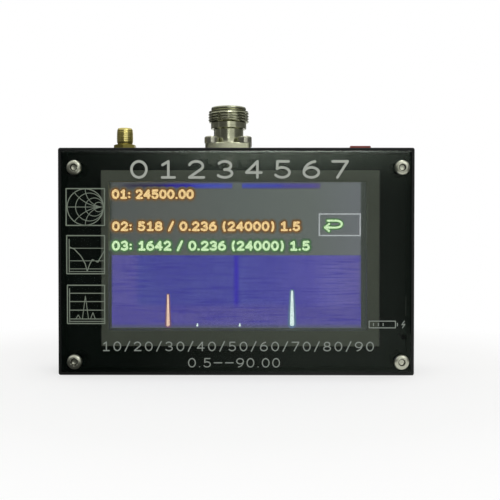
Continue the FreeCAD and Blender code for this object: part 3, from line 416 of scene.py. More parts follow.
# Each sign is its strokes, in a cell one high, and its width.
SIGNS = {
    "0": ([arc(0.31, 0.5, 0.31, 0.5, 90, 450, 36)], 0.62),
    "1": ([
        line((0.10, 0.78), (0.34, 1.0)), line((0.34, 1.0), (0.34, 0.0)), line((0.08, 0.0), (0.60, 0.0)),
    ], 0.62),
    "2": ([TWO, line((0.02, 0.0), (0.62, 0.0))], 0.62),
    "3": ([arc(0.29, 0.74, 0.27, 0.26, 150, -90), arc(0.29, 0.25, 0.31, 0.25, 90, -150)], 0.62),
    "4": ([
        line((0.46, 0.0), (0.46, 1.0)), line((0.46, 1.0), (0.0, 0.3)), line((0.0, 0.3), (0.62, 0.3)),
    ], 0.62),
    "5": ([line((0.56, 1.0), (0.10, 1.0)), line((0.10, 1.0), (0.08, 0.54)), FIVE_BOWL], 0.62),
    "6": (SIX, 0.62),
    "7": ([line((0.0, 1.0), (0.62, 1.0)), line((0.62, 1.0), (0.2, 0.0))], 0.62),
    "8": ([arc(0.31, 0.75, 0.25, 0.25, 90, 450, 28), arc(0.31, 0.25, 0.31, 0.25, 90, 450, 28)], 0.62),
    "9": (NINE, 0.62),
    ".": ([line((0.05, 0.02), (0.06, 0.02))], 0.11),
    ":": ([line((0.05, 0.12), (0.06, 0.12)), line((0.05, 0.62), (0.06, 0.62))], 0.11),
    "/": ([line((0.0, -0.06), (0.42, 1.06))], 0.42),
    "-": ([line((0.0, 0.5), (0.7, 0.5))], 0.7),
    "(": ([arc(0.34, 0.48, 0.3, 0.7, 128, 232)], 0.26),
    ")": ([arc(-0.08, 0.48, 0.3, 0.7, 52, -52)], 0.26),
    " ": ([], 0.22),
}


def written(text, x, z, stroke, gap=SIGN_GAP):
    """The strokes of a line of signs, stretched to fill x = (left, right) and z = (low, high)."""
    widths = [SIGNS[sign][1] for sign in text]
    starts = np.concatenate([[0], np.cumsum([width + gap for width in widths])])[:-1]
    whole = starts[-1] + widths[-1]
    scale = np.array([(x[1] - x[0] - stroke) / whole, z[1] - z[0] - stroke])
    corner = np.array([x[0], z[0]]) + stroke / 2
    paths = []
    for sign, start in zip(text, starts):
        paths.extend([corner + (path + [start, 0]) * scale for path in SIGNS[sign][0]])
    return paths


def rectangle(x, z):
    """The four edges of a rectangle, each a path of its own."""
    low_left, low_right = (x[0], z[0]), (x[1], z[0])
    high_right, high_left = (x[1], z[1]), (x[0], z[1])
    edges = ((low_left, low_right), (low_right, high_right), (high_right, high_left), (high_left, low_left))
    return [line(*edge) for edge in edges]


FRONT_VIEW = (np.array([1.0, 0, 0]), np.array([0, 0, 1.0]), np.array([0, -1.0, 0]))


def stroke_shell(path, width, thickness, origin, axes, taper=0.0):
    """A flat band with round ends, carried along a path. Its half width is width / 2 along the path and
    (width / 2) sin a on the end caps, and it narrows by taper from its first point to its last. A path that
    ends where it starts becomes a ring without caps."""
    half = width / 2
    closed = np.allclose(path[0], path[-1])
    if closed:
        path = path[:-1]
        run = np.roll(path, -1, axis=0) - np.roll(path, 1, axis=0)
    else:
        run = np.gradient(path, axis=0)
    along = run / np.linalg.norm(run, axis=1)[:, None]
    cap = np.radians([] if closed else [14, 40, 65])[:, None]
    before = path[0] - along[0] * half * np.cos(cap)
    after = path[-1] + along[-1] * half * (1 - taper) * np.cos(cap[::-1])
    middle = np.vstack([before, path, after])
    caps = len(cap)
    heading = np.vstack([np.repeat(along[:1], caps, axis=0), along, np.repeat(along[-1:], caps, axis=0)])
    narrowing = 1 - taper * np.linspace(0, 1, len(path))
    halves = half * np.concatenate([np.sin(cap[:, 0]), narrowing, (1 - taper) * np.sin(cap[::-1, 0])])
    side = np.column_stack([-heading[:, 1], heading[:, 0]]) * halves[:, None]
    right, up, out = axes
    left_edge = (middle + side) @ np.array([right, up]) + origin
    right_edge = (middle - side) @ np.array([right, up]) + origin
    rise = out * thickness
    rings = np.stack([left_edge, left_edge + rise, right_edge + rise, right_edge], axis=1)
    faces = grid_quads(len(middle), 4, close_rows=closed, close_columns=True).tolist()
    if not closed:
        faces.append([0, 1, 2, 3])
        faces.append([4 * len(middle) - corner for corner in (1, 2, 3, 4)])
    return rings.reshape(-1, 3), faces


def strokes(paths, width, thickness, level, axes=FRONT_VIEW, origin=None, taper=0.0):
    """Many strokes as one mesh, lying on the plane y = level or on the plane given by origin and axes.
    Neighbours differ a little in thickness, so that no two faces coincide where they cross."""
    start = np.array([0.0, level, 0.0]) if origin is None else origin
    lifts = [thickness * (1 + 0.2 * (number % 4)) for number in range(len(paths))]
    return joined([stroke_shell(path, width, lift, start, axes, taper) for path, lift in zip(paths, lifts)])


# ---------------------------------------------------------------- finishes


def paint(code):
    """An sRGB hex colour as linear red, green and blue, with full alpha."""
    share = np.array([int(code[start:start + 2], 16) for start in (0, 2, 4)]) / 255
    linear = np.where(share <= 0.04045, share / 12.92, ((share + 0.055) / 1.055) ** 2.4)
    return (*linear.tolist(), 1.0)


def tones(stops):
    """Stops of a colour ramp from (place, sRGB hex) pairs."""
    return [(place, paint(code)) for place, code in stops]


def shares(stops):
    """Stops of a ramp of greys from (place, share) pairs."""
    return [(place, (share, share, share, 1.0)) for place, share in stops]


def set_inputs(node, inputs):
    """Links each input that is given as a socket, and sets any other."""
    for name, value in inputs.items():
        if isinstance(value, bpy.types.NodeSocket):
            node.id_data.links.new(value, node.inputs[name])
        else:
            node.inputs[name].default_value = value


def add_node(tree, kind, inputs=None, stops=(), **settings):
    """Adds one node with its settings and inputs. A colour ramp gets its stops as (place, colour) pairs."""
    node = tree.nodes.new(kind)
    for name, value in settings.items():
        setattr(node, name, value)
    set_inputs(node, inputs or {})
    for number, (place, colour) in enumerate(stops):
        ramp = node.color_ramp.elements
        element = ramp[number] if number < 2 else ramp.new(1.0)
        element.position = place
        element.color = colour
    return node


def new_finish(name):
    """An empty material, with its tree, its surface shader and its Object coordinates."""
    material = bpy.data.materials.new(name)
    material.use_nodes = True
    tree = material.node_tree
    place = add_node(tree, "ShaderNodeTexCoord").outputs["Object"]
    return material, tree, tree.nodes["Principled BSDF"], place


def grained(name, dark, light, grain_mm, rough, bump_mm, metallic=0.0, specular=0.5):
    """A finish with fine grain: noise of grain_mm varies the colour between two shades and the roughness
    between two values, and lifts the surface by about bump_mm."""
    material, tree, shader, place = new_finish(name)
    size = 1 / (grain_mm * MM)
    grain = add_node(tree, "ShaderNodeTexNoise", {"Vector": place, "Scale": size, "Detail": 3.0})
    share = grain.outputs["Fac"]
    tone = add_node(tree, "ShaderNodeValToRGB", {"Fac": share}, tones(((0.3, dark), (0.7, light))))
    shine = add_node(tree, "ShaderNodeMapRange", {"Value": share, "To Min": rough[0], "To Max": rough[1]})
    lift = add_node(tree, "ShaderNodeBump", {"Height": share, "Strength": 1.0, "Distance": bump_mm * MM})
    set_inputs(shader, {
        "Base Color": tone.outputs["Color"], "Roughness": shine.outputs["Result"],
        "Normal": lift.outputs["Normal"], "Metallic": metallic, "Specular IOR Level": specular,
    })
    return material


def smoked_acrylic():
    """Polished cast acrylic, dyed near black: deep gloss, and what is lit close behind it shows dimly.
    Wiping leaves a haze of about 12 mm that only the reflections show."""
    material, tree, shader, place = new_finish("smoked_cast_acrylic")
    haze = add_node(tree, "ShaderNodeTexNoise", {"Vector": place, "Scale": 1 / (12 * MM), "Detail": 4.0})
    limits = {"Value": haze.outputs["Fac"], "To Min": 0.05, "To Max": 0.09}
    shine = add_node(tree, "ShaderNodeMapRange", limits)
    set_inputs(shader, {
        "Base Color": paint("0a120e"), "Roughness": shine.outputs["Result"], "IOR": 1.49,
        "Specular IOR Level": 0.35, "Specular Tint": paint("ecffe8"), "Alpha": 0.4,
    })
    return material


def clear_glass():
    """Float glass with a hard coat: nearly nothing but its reflection, which smears of 20 mm soften."""
    material, tree, shader, place = new_finish("touch_glass_float")
    haze = add_node(tree, "ShaderNodeTexNoise", {"Vector": place, "Scale": 1 / (20 * MM), "Detail": 2.0})
    limits = {"Value": haze.outputs["Fac"], "To Min": 0.03, "To Max": 0.08}
    shine = add_node(tree, "ShaderNodeMapRange", limits)
    set_inputs(shader, {
        "Base Color": paint("20241f"), "Roughness": shine.outputs["Result"], "IOR": 1.52, "Alpha": 0.06,
    })
    return material


# Turned metal: how far a streak runs round, in mm at 60 to the metre, and the span of the worn share.
STREAK_ROUND = 1000 / 60
WEAR_SPAN = (0.12, 0.38)


def turned_metal(name, dark, light, ring_mm, rough):
    """Plating over turned brass: fine rings left by the tool, ring_mm apart, streak its reflections, and
    handling dulls it in patches of about 3 mm."""
    material, tree, shader, place = new_finish(name)
    sizes = [1 / (size * MM) for size in (STREAK_ROUND, STREAK_ROUND, ring_mm)]
    stretch = add_node(tree, "ShaderNodeMapping", {"Vector": place, "Scale": sizes}).outputs["Vector"]
    rings = add_node(tree, "ShaderNodeTexNoise", {"Vector": stretch, "Scale": 1.0, "Detail": 2.0})
    dull = add_node(tree, "ShaderNodeTexNoise", {"Vector": place, "Scale": 1 / (3 * MM), "Detail": 2.0})
    both = {0: rings.outputs["Fac"], 1: dull.outputs["Fac"]}
    wear = add_node(tree, "ShaderNodeMath", both, operation="MULTIPLY").outputs["Value"]
    low, high = WEAR_SPAN
    tone = add_node(tree, "ShaderNodeValToRGB", {"Fac": wear}, tones(((low, dark), (high, light))))
    limits = {"Value": wear, "From Min": low, "From Max": high, "To Min": rough[1], "To Max": rough[0]}
    shine = add_node(tree, "ShaderNodeMapRange", limits)
    set_inputs(shader, {
        "Base Color": tone.outputs["Color"], "Roughness": shine.outputs["Result"], "Metallic": 1.0,
    })
    return material


# Share of the display's light that the smoked panel lets out, which the lit colours are raised by. Then the
# height of a row of pixels in mm, and how bright it is at its dimmest.
THROUGH_PANEL = 0.36
LIT_STRENGTH = 1 / THROUGH_PANEL
PIXEL_ROW = 0.1
ROW_DIP = 0.94


def set_glow(shader, colour, unlit="0c0d0e"):
    """Lets a near black, smooth ground give off light of one colour."""
    set_inputs(shader, {
        "Base Color": paint(unlit), "Roughness": 0.5, "Emission Color": colour,
        "Emission Strength": LIT_STRENGTH,
    })


def lit(name, code):
    """Light from the display's pixels, seen through the smoked panel, with their rows as a faint ripple."""
    material, tree, shader, place = new_finish(name)
    pitch = 1 / (2 * math.pi * PIXEL_ROW * MM)
    rows = add_node(tree, "ShaderNodeTexWave", {"Vector": place, "Scale": pitch}, bands_direction="Z")
    glow = add_node(tree, "ShaderNodeMapRange", {"Value": rows.outputs["Fac"], "To Min": ROW_DIP})
    inputs = {0: paint(code)[:3], "Scale": glow.outputs["Result"]}
    colour = add_node(tree, "ShaderNodeVectorMath", inputs, operation="SCALE").outputs["Vector"]
    set_glow(shader, colour)
    return material


def lit_bar(name, span, stops):
    """A soft bar of light: its colour runs along X through the stops, and it fades into the grey of the
    field around it towards both long edges."""
    material, tree, shader, place = new_finish(name)
    split = add_node(tree, "ShaderNodeSeparateXYZ", {"Vector": place}).outputs
    ends = {"Value": split["X"], "From Min": span[0] * MM, "From Max": span[1] * MM}
    along = add_node(tree, "ShaderNodeMapRange", ends).outputs["Result"]
    colour = add_node(tree, "ShaderNodeValToRGB", {"Fac": along}, tones(stops)).outputs["Color"]
    rise = {"Value": split["Z"], "From Min": BARS_Z[0] * MM, "From Max": BARS_Z[1] * MM}
    level = add_node(tree, "ShaderNodeMapRange", rise).outputs["Result"]
    share = add_node(tree, "ShaderNodeValToRGB", {"Fac": level}, shares(BAR_PROFILE)).outputs["Color"]
    mixed = {0: share, 6: paint(BAR_ROUND), 7: colour}
    set_glow(shader, add_node(tree, "ShaderNodeMix", mixed, data_type="RGBA").outputs[2])
    return material


def picture_light():
    """The display's picture: a grey upper field over a blue graph. The graph is paler at both sides and
    near its foot, bluer along the line through its middle, and streaked both ways by faint old traces."""
    material, tree, shader, place = new_finish("lit_picture")
    split = add_node(tree, "ShaderNodeSeparateXYZ", {"Vector": place}).outputs
    wide = {"Value": split["X"], "From Min": LIT_X[0] * MM, "From Max": LIT_X[1] * MM}
    along = add_node(tree, "ShaderNodeMapRange", wide).outputs["Result"]
    upper = add_node(tree, "ShaderNodeValToRGB", {"Fac": along}, tones(UPPER_GREYS)).outputs["Color"]
    field = add_node(tree, "ShaderNodeValToRGB", {"Fac": along}, tones(GRAPH_BLUES)).outputs["Color"]
    low = {"Value": split["Z"], "From Min": GRAPH_FOOT[0] * MM, "From Max": GRAPH_FOOT[1] * MM}
    foot = add_node(tree, "ShaderNodeMapRange", low).outputs["Result"]
    layers = [(foot, FOOT_BLUE)]
    for long_mm, fine_mm, strongest in (STREAKS_ALONG, STREAKS_UP):
        sizes = [1 / (size * MM) for size in (long_mm, 1.0, fine_mm)]
        stretch = add_node(tree, "ShaderNodeMapping", {"Vector": place, "Scale": sizes}).outputs["Vector"]
        streaks = add_node(tree, "ShaderNodeTexNoise", {"Vector": stretch, "Scale": 1.0, "Detail": 1.0})
        limits = {"From Min": STREAK_FROM[0], "From Max": STREAK_FROM[1], "To Max": strongest}
        limits["Value"] = streaks.outputs["Fac"]
        layers.append((add_node(tree, "ShaderNodeMapRange", limits).outputs["Result"], STREAK_BLUE))
    size = 1 / (CLOUD_MM * MM)
    cloud = add_node(tree, "ShaderNodeTexNoise", {"Vector": place, "Scale": size, "Detail": 2.0})
    limits = {"Value": cloud.outputs["Fac"], "To Min": CLOUD_SHARE[0], "To Max": CLOUD_SHARE[1]}
    layers.append((add_node(tree, "ShaderNodeMapRange", limits).outputs["Result"], CLOUD_BLUE))
    rim = {"Value": split["Z"], "From Min": (LIT_Z[0] + GRAPH_RIM) * MM, "From Max": LIT_Z[0] * MM}
    layers.append((add_node(tree, "ShaderNodeMapRange", rim).outputs["Result"], RIM_GREY))
    graph = field
    for share, code in layers:
        mixed = {0: share, 6: graph, 7: paint(code)}
        graph = add_node(tree, "ShaderNodeMix", mixed, data_type="RGBA").outputs[2]
    edge = [(GRAPH_TOP + side * GRAPH_TOP_SOFT) * MM for side in (-1, 1)]
    rise = {"Value": split["Z"], "From Min": edge[0], "From Max": edge[1]}
    over = add_node(tree, "ShaderNodeMapRange", rise).outputs["Result"]
    whole = add_node(tree, "ShaderNodeMix", {0: over, 6: graph, 7: upper}, data_type="RGBA").outputs[2]
    set_glow(shader, whole, "101214")
    return material


# Nickel on turned brass: a warm grey mirror, streaked round by the tool.
nickel_turned = turned_metal("nickel_plated_brass", "9fa187", "c0c2a6", 0.25, (0.14, 0.22))
# Nickel on the milled flange: evenly satin, and a shade darker than the barrel as painted shade that dims its
# reflection.
nickel_milled_darkened = grained("nickel_flange_painted_darker", "92947d", "a8aa92", 0.3, (0.18, 0.26), 0.001, 1.0)
# Nickel on pressed and rolled steel: softer and paler than on the turned barrel.
nickel_steel = grained("nickel_plated_steel", "aaaa98", "c2c2ae", 0.3, (0.2, 0.3), 0.001, 1.0)
# Tumbled stainless screws: a satin that spreads each light over the whole dome.
bright_steel = grained("tumbled_stainless_steel", "b4b6a4", "cfd2be", 0.2, (0.24, 0.36), 0.0005, 1.0)
# The key sockets in them: painted shade, a dark finish on their walls and flat rim.
socket_shade_steel = grained("painted_socket_shade_steel", "2c2c25", "45453a", 0.2, (0.3, 0.42), 0.001, 1.0)
# Thin gold on turned brass: a greenish yellow with one bright line down the barrel.
gold_turned = turned_metal("gold_plated_brass", "cabc66", "ecdf92", 0.2, (0.14, 0.24))
# The same gold on a rolled and milled nut: duller, and darker as painted shade.
gold_dull_darkened = grained("gold_nut_painted_darker", "8f8744", "aca35a", 0.3, (0.28, 0.4), 0.002, 1.0)
# Hard gold on the contacts: deeper yellow and clean.
gold_pins = grained("gold_plated_contact", "c09a36", "d6b14a", 0.2, (0.2, 0.3), 0.001, 1.0)
# Bead-blasted, black-dyed anodising: a fine, even grit of 0.15 mm that leaves only a faint sheen.
black_anodised = grained(
    "black_anodised_aluminium", "0e100f", "171917", 0.15, (0.44, 0.58), 0.003, specular=0.25,
)
# Moulded ABS with a fine spark-eroded texture: a soft black.
black_abs = grained("black_moulded_abs", "141414", "1d1d1d", 0.4, (0.4, 0.55), 0.004)
# Moulded polycarbonate: a red with a soft gloss, darkened to a deep brownish red as painted shade of its
# front end.
red_key = grained("red_polycarbonate_key", "6c2412", "82301a", 0.5, (0.25, 0.35), 0.001, specular=0.3)
# Turned PTFE: waxy white, without a shine.
white_ptfe = grained("turned_ptfe", "dcdcd6", "ececea", 0.4, (0.45, 0.6), 0.002)
# Oil-blackened steel: near black with a dull metal sheen.
blackened_steel = grained("blackened_steel", "121313", "1b1c1c", 0.3, (0.4, 0.5), 0.001, 1.0)
# Plain turned brass: warm yellow, slightly tarnished.
turned_spacer = grained("turned_brass", "a8843a", "c49c4c", 0.3, (0.25, 0.38), 0.001, 1.0)
# Bright tin on stamped steel: pale grey with a faint spangle.
tinned = grained("tin_plated_steel", "9c9c98", "b4b4b0", 0.4, (0.25, 0.4), 0.002, 1.0)
# Cold-rolled stainless sheet: an even grey satin.
rolled_steel = grained("rolled_stainless_sheet", "8c8c8a", "a0a09e", 0.2, (0.3, 0.42), 0.001, 1.0)
# Closed-cell foam tape: matt, with fine open pores on its cut face.
gasket_foam = grained("grey_closed_cell_foam", "a3ac99", "b6beaa", 0.35, (0.8, 0.95), 0.006)
# The display's own glass over its black border: dark grey and glossy.
dark_glass = grained("display_glass", "50554f", "5a5f58", 3.0, (0.1, 0.16), 0.0005)
# Calendered diffuser film: even white.
white_film = grained("white_diffuser_film", "d8d8d4", "e8e8e6", 0.5, (0.5, 0.65), 0.001)
# Polyimide ribbon under black coverlay: smooth satin black.
black_film = grained("black_coverlay_ribbon", "151515", "1e1e1e", 0.8, (0.35, 0.45), 0.001)
# Black solder mask over woven glass and copper: slightly green, slightly uneven.
board_mask = grained("black_solder_mask", "0d1310", "141c17", 0.8, (0.35, 0.5), 0.004)
# Transfer-moulded epoxy: dry, dark grey grit.
chip_epoxy = grained("moulded_epoxy", "1c1c1c", "272727", 0.15, (0.55, 0.7), 0.003)
# Extruded FEP: brown, smooth and a little waxy.
cable_fep = grained("extruded_fep", "6a3418", "7e4122", 0.6, (0.25, 0.35), 0.001)
# Extruded silicone: dull and soft, in black and in red.
black_silicone = grained("black_silicone", "161616", "1f1f1f", 0.5, (0.5, 0.65), 0.003)
red_silicone = grained("red_silicone", "8c1512", "a01c18", 0.5, (0.5, 0.65), 0.003)
# Deep-drawn aluminium laminate: a silver skin with shallow creases.
cell_foil = grained("aluminium_laminate", "8f9194", "a6a8ac", 1.2, (0.3, 0.42), 0.01, 1.0)
# Moulded nylon: off-white with a soft sheen.
white_nylon = grained("moulded_nylon", "d4d4cc", "e2e2dc", 0.5, (0.45, 0.6), 0.002)
# An unlit, smoked epoxy lens: almost black, with a trace of red.
dark_lens = grained("smoked_epoxy_lens", "1c0a09", "2a0e0c", 0.5, (0.12, 0.2), 0.001)
# Screen-printed ink: matt, with the fine grain of the mesh, paler on the large figures.
title_ink = grained("pale_screen_ink", "a6aba2", "b6bab0", 0.25, (0.6, 0.75), 0.003)
small_ink = grained("grey_screen_ink", "858d85", "959c93", 0.25, (0.6, 0.75), 0.003)
# The same ink, printed thinner: greener and dimmer, for the charts.
chart_ink = grained("thin_screen_ink", "6e7869", "7e8879", 0.25, (0.6, 0.75), 0.003)

FINISHES = {
    "case_frame": black_anodised, "rear_cover": black_anodised, "front_panel": smoked_acrylic(),
    "panel_standoffs": blackened_steel, "touch_glass": clear_glass(), "lcd_cell": dark_glass,
    "lcd_backlight": white_film, "lcd_frame": rolled_steel, "lcd_flex": black_film,
    "flex_socket": black_abs, "lcd_pads": gasket_foam, "main_board": board_mask,
    "board_chips": chip_epoxy, "rf_board": board_mask, "rf_shield": tinned,
    "rf_standoffs": turned_spacer, "rf_nuts": nickel_steel, "rf_screws": nickel_steel,
    "header_socket": black_abs, "header_strip": black_abs, "header_pins": gold_pins,
    "charge_led": dark_lens, "charge_socket": tinned, "data_socket": tinned, "card_socket": tinned,
    "memory_card": chip_epoxy, "n_insulator": white_ptfe, "n_contact": gold_pins,
    "n_screws": nickel_steel, "n_nuts": nickel_steel, "n_coax": cable_fep,
    "sma_insulator": white_ptfe, "sma_contact": gold_pins, "sma_washer": gold_dull_darkened,
    "sma_nut": gold_dull_darkened, "sma_coax": cable_fep, "rocker_housing": black_abs,
    "rocker_button": red_key, "rocker_terminals": tinned, "switch_leads": black_silicone,
    "reset_body": black_abs, "reset_key": black_abs, "battery_cell": cell_foil,
    "battery_tape": gasket_foam, "battery_header": white_nylon, "battery_plug": white_nylon,
    "battery_lead_red": red_silicone, "battery_lead_black": black_silicone,
}

for node_name, finish in FINISHES.items():
    node_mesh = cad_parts[node_name].data
    node_mesh.materials.clear()
    node_mesh.materials.append(finish)

# ---------------------------------------------------------------- the two sockets


def n_socket():
    """The turned barrel, from its solder end through the case to the lip, and its square flange."""
    corners = (
        (N_REAR_R, N_BOTTOM, 0), (N_REAR_R, CASE_TOP + BREAK, 0),
        (N_NECK_R + N_NECK_FOOT, N_FLANGE_TOP - BREAK, 0), (N_NECK_R + N_NECK_FOOT, N_FLANGE_TOP, 0),
        (N_NECK_R + BREAK, N_FLANGE_TOP + BREAK, 0), (N_NECK_R, N_FLANGE_TOP + N_NECK_FOOT, 0),
        (N_NECK_R, N_NECK_TOP - N_NECK_FLARE, 0), (N_NECK_R + N_NECK_FLARE, N_NECK_TOP, 0),
        (N_COLLAR_R - BREAK, N_NECK_TOP, 0), (N_COLLAR_R, N_NECK_TOP + BREAK, 0),
        (N_COLLAR_R, N_COLLAR_TOP - BREAK, 0), (N_COLLAR_R - BREAK, N_COLLAR_TOP, 0),
        (N_CREST_R - N_CREST_FOOT[0], N_COLLAR_TOP, 0), (N_CREST_R, N_COLLAR_TOP + N_CREST_FOOT[1], 1),
        (N_CREST_R, N_CREST_TOP - N_CREST_END[1], 1), (N_CREST_R - N_CREST_END[0], N_CREST_TOP, 0),
        (N_LIP_FOOT_R, N_CREST_TOP, 0), (N_LIP_R, N_CREST_TOP + N_LIP_RISE, 0),
        (N_LIP_R, N_TOP - N_LIP_END[1], 0), (N_LIP_R - N_LIP_END[0], N_TOP, 0),
        (N_MOUTH_R + BREAK, N_TOP, 0), (N_MOUTH_R, N_TOP - BREAK, 0),
        (N_MOUTH_R, N_MOUTH_FLOOR, 0), (N_BORE_R, N_MOUTH_FLOOR, 0), (N_BORE_R, N_BOTTOM, 0),
    )
    barrel = turned(corners, N_AXIS, N_THREAD)
    flange = square_plate(N_FLANGE_HALF, N_FLANGE_CORNER, N_AXIS, CASE_TOP, N_FLANGE_TOP)
    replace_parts(add_piece("n_socket_barrel", *barrel, nickel_turned, slot="nickel_brass"), "n_body")
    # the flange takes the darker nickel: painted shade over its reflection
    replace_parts(add_piece("n_socket_flange", *flange, nickel_milled_darkened, slot="nickel_brass"), "n_body")


def sma_socket():
    """The small barrel: tail, relief above the nut, thread and long tapered tip, with its stepped bore."""
    bottom = SMA_LOW[2]
    tip = SMA_HIGH[2]
    flange_low = INNER_TOP - SMA_FLANGE_H
    taper = [(SMA_CREST_R - inset, tip - down, 1) for inset, down in SMA_TAPER]
    corners = (
        (SMA_TAIL_R, bottom, 0), (SMA_TAIL_R, flange_low, 0), (SMA_FLANGE_R, flange_low, 0),
        (SMA_FLANGE_R, INNER_TOP, 0), (SMA_RELIEF_R, INNER_TOP, 0),
        (SMA_RELIEF_R, SMA_NUT_TOP + SMA_RELIEF_END, 0),
        (SMA_CREST_R - SMA_FOOT_IN, SMA_NUT_TOP + SMA_FOOT_H, 1),
        (SMA_CREST_R, SMA_NUT_TOP + SMA_FULL_CREST_H, 1), *taper, (SMA_TIP_R, tip, 0),
        (SMA_MOUTH_R + BREAK, tip, 0), (SMA_MOUTH_R, tip - BREAK, 0), (SMA_MOUTH_R, SMA_MOUTH_FLOOR, 0),
        (SMA_BORE_R, SMA_MOUTH_FLOOR, 0), (SMA_BORE_R, SMA_BORE_FLOOR, 0),
        (SMA_CABLE_R, SMA_BORE_FLOOR, 0), (SMA_CABLE_R, bottom, 0),
    )
    shell = turned(corners, SMA_AXIS, SMA_THREAD)
    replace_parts(add_piece("sma_socket_shell", *shell, gold_turned, slot="gold_plate"), "sma_body")


# ---------------------------------------------------------------- corner screws and foam


def button_screw(x, seat, z, outward, length):
    """A socket button-head screw: rings (radius, height, sided) carried round the Y direction. A ring's
    radius is r for sided = 0, and r / cos(t') on the hexagon of the key socket, where t' is the turn from
    the middle of the nearest flat. The dome is its chord, raised by a parabola."""
    share = np.linspace(0, 1, DOME_STEPS)[:, None]
    chord = np.array([HEAD_R, HEAD_EDGE]) + share * np.array([CROWN_R - HEAD_R, HEAD_H - HEAD_EDGE])
    away = np.array([HEAD_H - HEAD_EDGE, HEAD_R - CROWN_R])
    dome = chord + 4 * HEAD_BULGE * share * (1 - share) * away / np.linalg.norm(away)
    shank = (
        (0, -length, 0), (SHANK_R - SHANK_POINT, -length, 0), (SHANK_R, SHANK_POINT - length, 0),
        (SHANK_R, 0, 0),
    )
    brim = ((HEAD_R - BREAK, 0, 0), (HEAD_R, BREAK, 0))
    socket = (
        (KEY_FLAT + BREAK, HEAD_H, 1), (KEY_FLAT, HEAD_H - BREAK, 1), (KEY_FLAT, KEY_FLOOR, 1),
        (KEY_RIM * KEY_FLAT, KEY_FLOOR, 0), (0, KEY_POINT, 0),
    )
    rings = np.vstack([shank, brim, np.column_stack([dome, np.zeros(len(dome))]), socket])
    turn = np.radians(np.arange(0, 360, SCREW_STEP_DEG))[:, None]
    radius, height, sided = rings.T
    off_flat = (turn + np.pi / 6) % (np.pi / 3) - np.pi / 6
    reach = radius * np.where(sided > 0, 1 / np.cos(off_flat), 1.0)
    level = np.broadcast_to(seat + outward * height, reach.shape)
    points = np.stack([x + reach * np.cos(turn), level, z + reach * np.sin(turn)], axis=-1)
    return points.reshape(-1, 3), grid_quads(len(turn), len(rings), close_rows=True)


def button_screws(name, node, seat, outward):
    """The four screws of one side, in the corners of their CAD node's box. The walls and rim of their key
    sockets get a dark finish that paints the shade in the sockets."""
    low, high = box_mm(node)
    length = high[1] - low[1] - HEAD_H
    across = (low[0] + HEAD_R, high[0] - HEAD_R)
    places = [(x, z) for x in across for z in (low[2] + HEAD_R, high[2] - HEAD_R)]
    shells = [button_screw(x, seat, z, outward, length) for x, z in places]
    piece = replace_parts(add_piece(name, *joined(shells), bright_steel, slot="nickel_steel"), node)
    piece.data.materials.append(socket_shade_steel)
    for face in piece.data.polygons:
        x, level, z = np.array(face.center) / MM
        off_axis = min(math.hypot(x - middle_x, z - middle_z) for middle_x, middle_z in places)
        over_seat = (level - seat) * outward
        # painted shade: the walls and flat rim of each key socket take the dark finish
        face.material_index = int(KEY_FLOOR - 0.01 < over_seat < HEAD_H and off_axis < KEY_INSIDE * KEY_FLAT)


def foam_frame():
    """The flat foam frame round the display: an outer and an inner rectangle at two depths. Its front is
    FOAM_SET_BACK behind the panel's back, and its window's walls lean in by FOAM_LEAN."""
    front = PANEL_BACK + FOAM_SET_BACK
    back = FOAM_HIGH[1]
    outer = ((FOAM_LOW[0] + FOAM_SHORT, FOAM_HIGH[0] - FOAM_SHORT), (FOAM_LOW[2], FOAM_HIGH[2]))
    window = (FOAM_WINDOW_X, FOAM_WINDOW_Z)
    foot = [(low + FOAM_LEAN, high - FOAM_LEAN) for low, high in window]
    rings = []
    for (x, z), level in ((outer, back), (outer, front), (window, front), (foot, back)):
        rings.extend([(x[0], level, z[0]), (x[1], level, z[0]), (x[1], level, z[1]), (x[0], level, z[1])])
    faces = grid_quads(4, 4, close_rows=True, close_columns=True)
    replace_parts(add_piece("foam_frame", rings, faces, gasket_foam, slot="grey_foam"), "lcd_gasket")


n_socket()
sma_socket()
button_screws("front_button_screws", "front_screws", PANEL_FACE, -1)
button_screws("rear_button_screws", "rear_screws", box_mm("rear_cover")[1][1], 1)
foam_frame()

# ---------------------------------------------------------------- marks on the panel


def smith_chart(x, z):
    """Circles of even resistance r: centre r / (1 + r), radius 1 / (1 + r). Arcs of even reactance q:
    centre (1, 1 / q), radius 1 / q, from the right-hand point to the rim."""
    middle = np.array([sum(x) / 2, sum(z) / 2])
    radius = min(x[1] - x[0], z[1] - z[0]) / 2 - SMITH_MARGIN
    curves = [line((-1, 0), (1, 0))]
    for r in (0.3, 1.0, 2.8):
        curves.append(arc(r / (1 + r), 0, 1 / (1 + r), 1 / (1 + r), 0, 360, 48))
    for q in (0.5, 1.0):
        rim_x, rim_z = (q * q - 1) / (q * q + 1), 2 * q / (q * q + 1)
        end = math.degrees(math.atan2(rim_z - 1 / q, rim_x - 1)) % 360
        upper = arc(1, 1 / q, 1 / q, 1 / q, 270, end, 24)
        curves.extend([upper, upper * [1, -1]])
    rim = arc(middle[0], middle[1], radius, radius, 0, 360, 64)
    return [rim], [middle + curve * radius for curve in curves]


def dip_chart(x, z):
    """A matching curve that falls to one dip and recovers, over four level lines and an upright axis."""
    corner = np.array([x[0], z[0]])
    right = x[1] - x[0] - CHART_MARGIN
    levels = [line((0.9, height), (right, height)) for height in (9.5, 4.8, 1.8, 0.8)]
    axis = line((0.9, 0.6), (0.9, 12.8))
    fall = line((1.2, 9.9), (2.8, 9.2), (3.9, 8.0), (5.0, 6.9), (5.7, 5.9), (6.9, 3.6), (7.6, 0.9))
    turns = ((7.6, 0.9), (8.6, 3.6), (9.5, 5.3), (11.6, 4.3), (14.2, 8.9))
    rise = [line(*ends) for ends in zip(turns, turns[1:])]
    return [corner + path for path in (axis, fall, *rise)], [corner + path for path in levels]


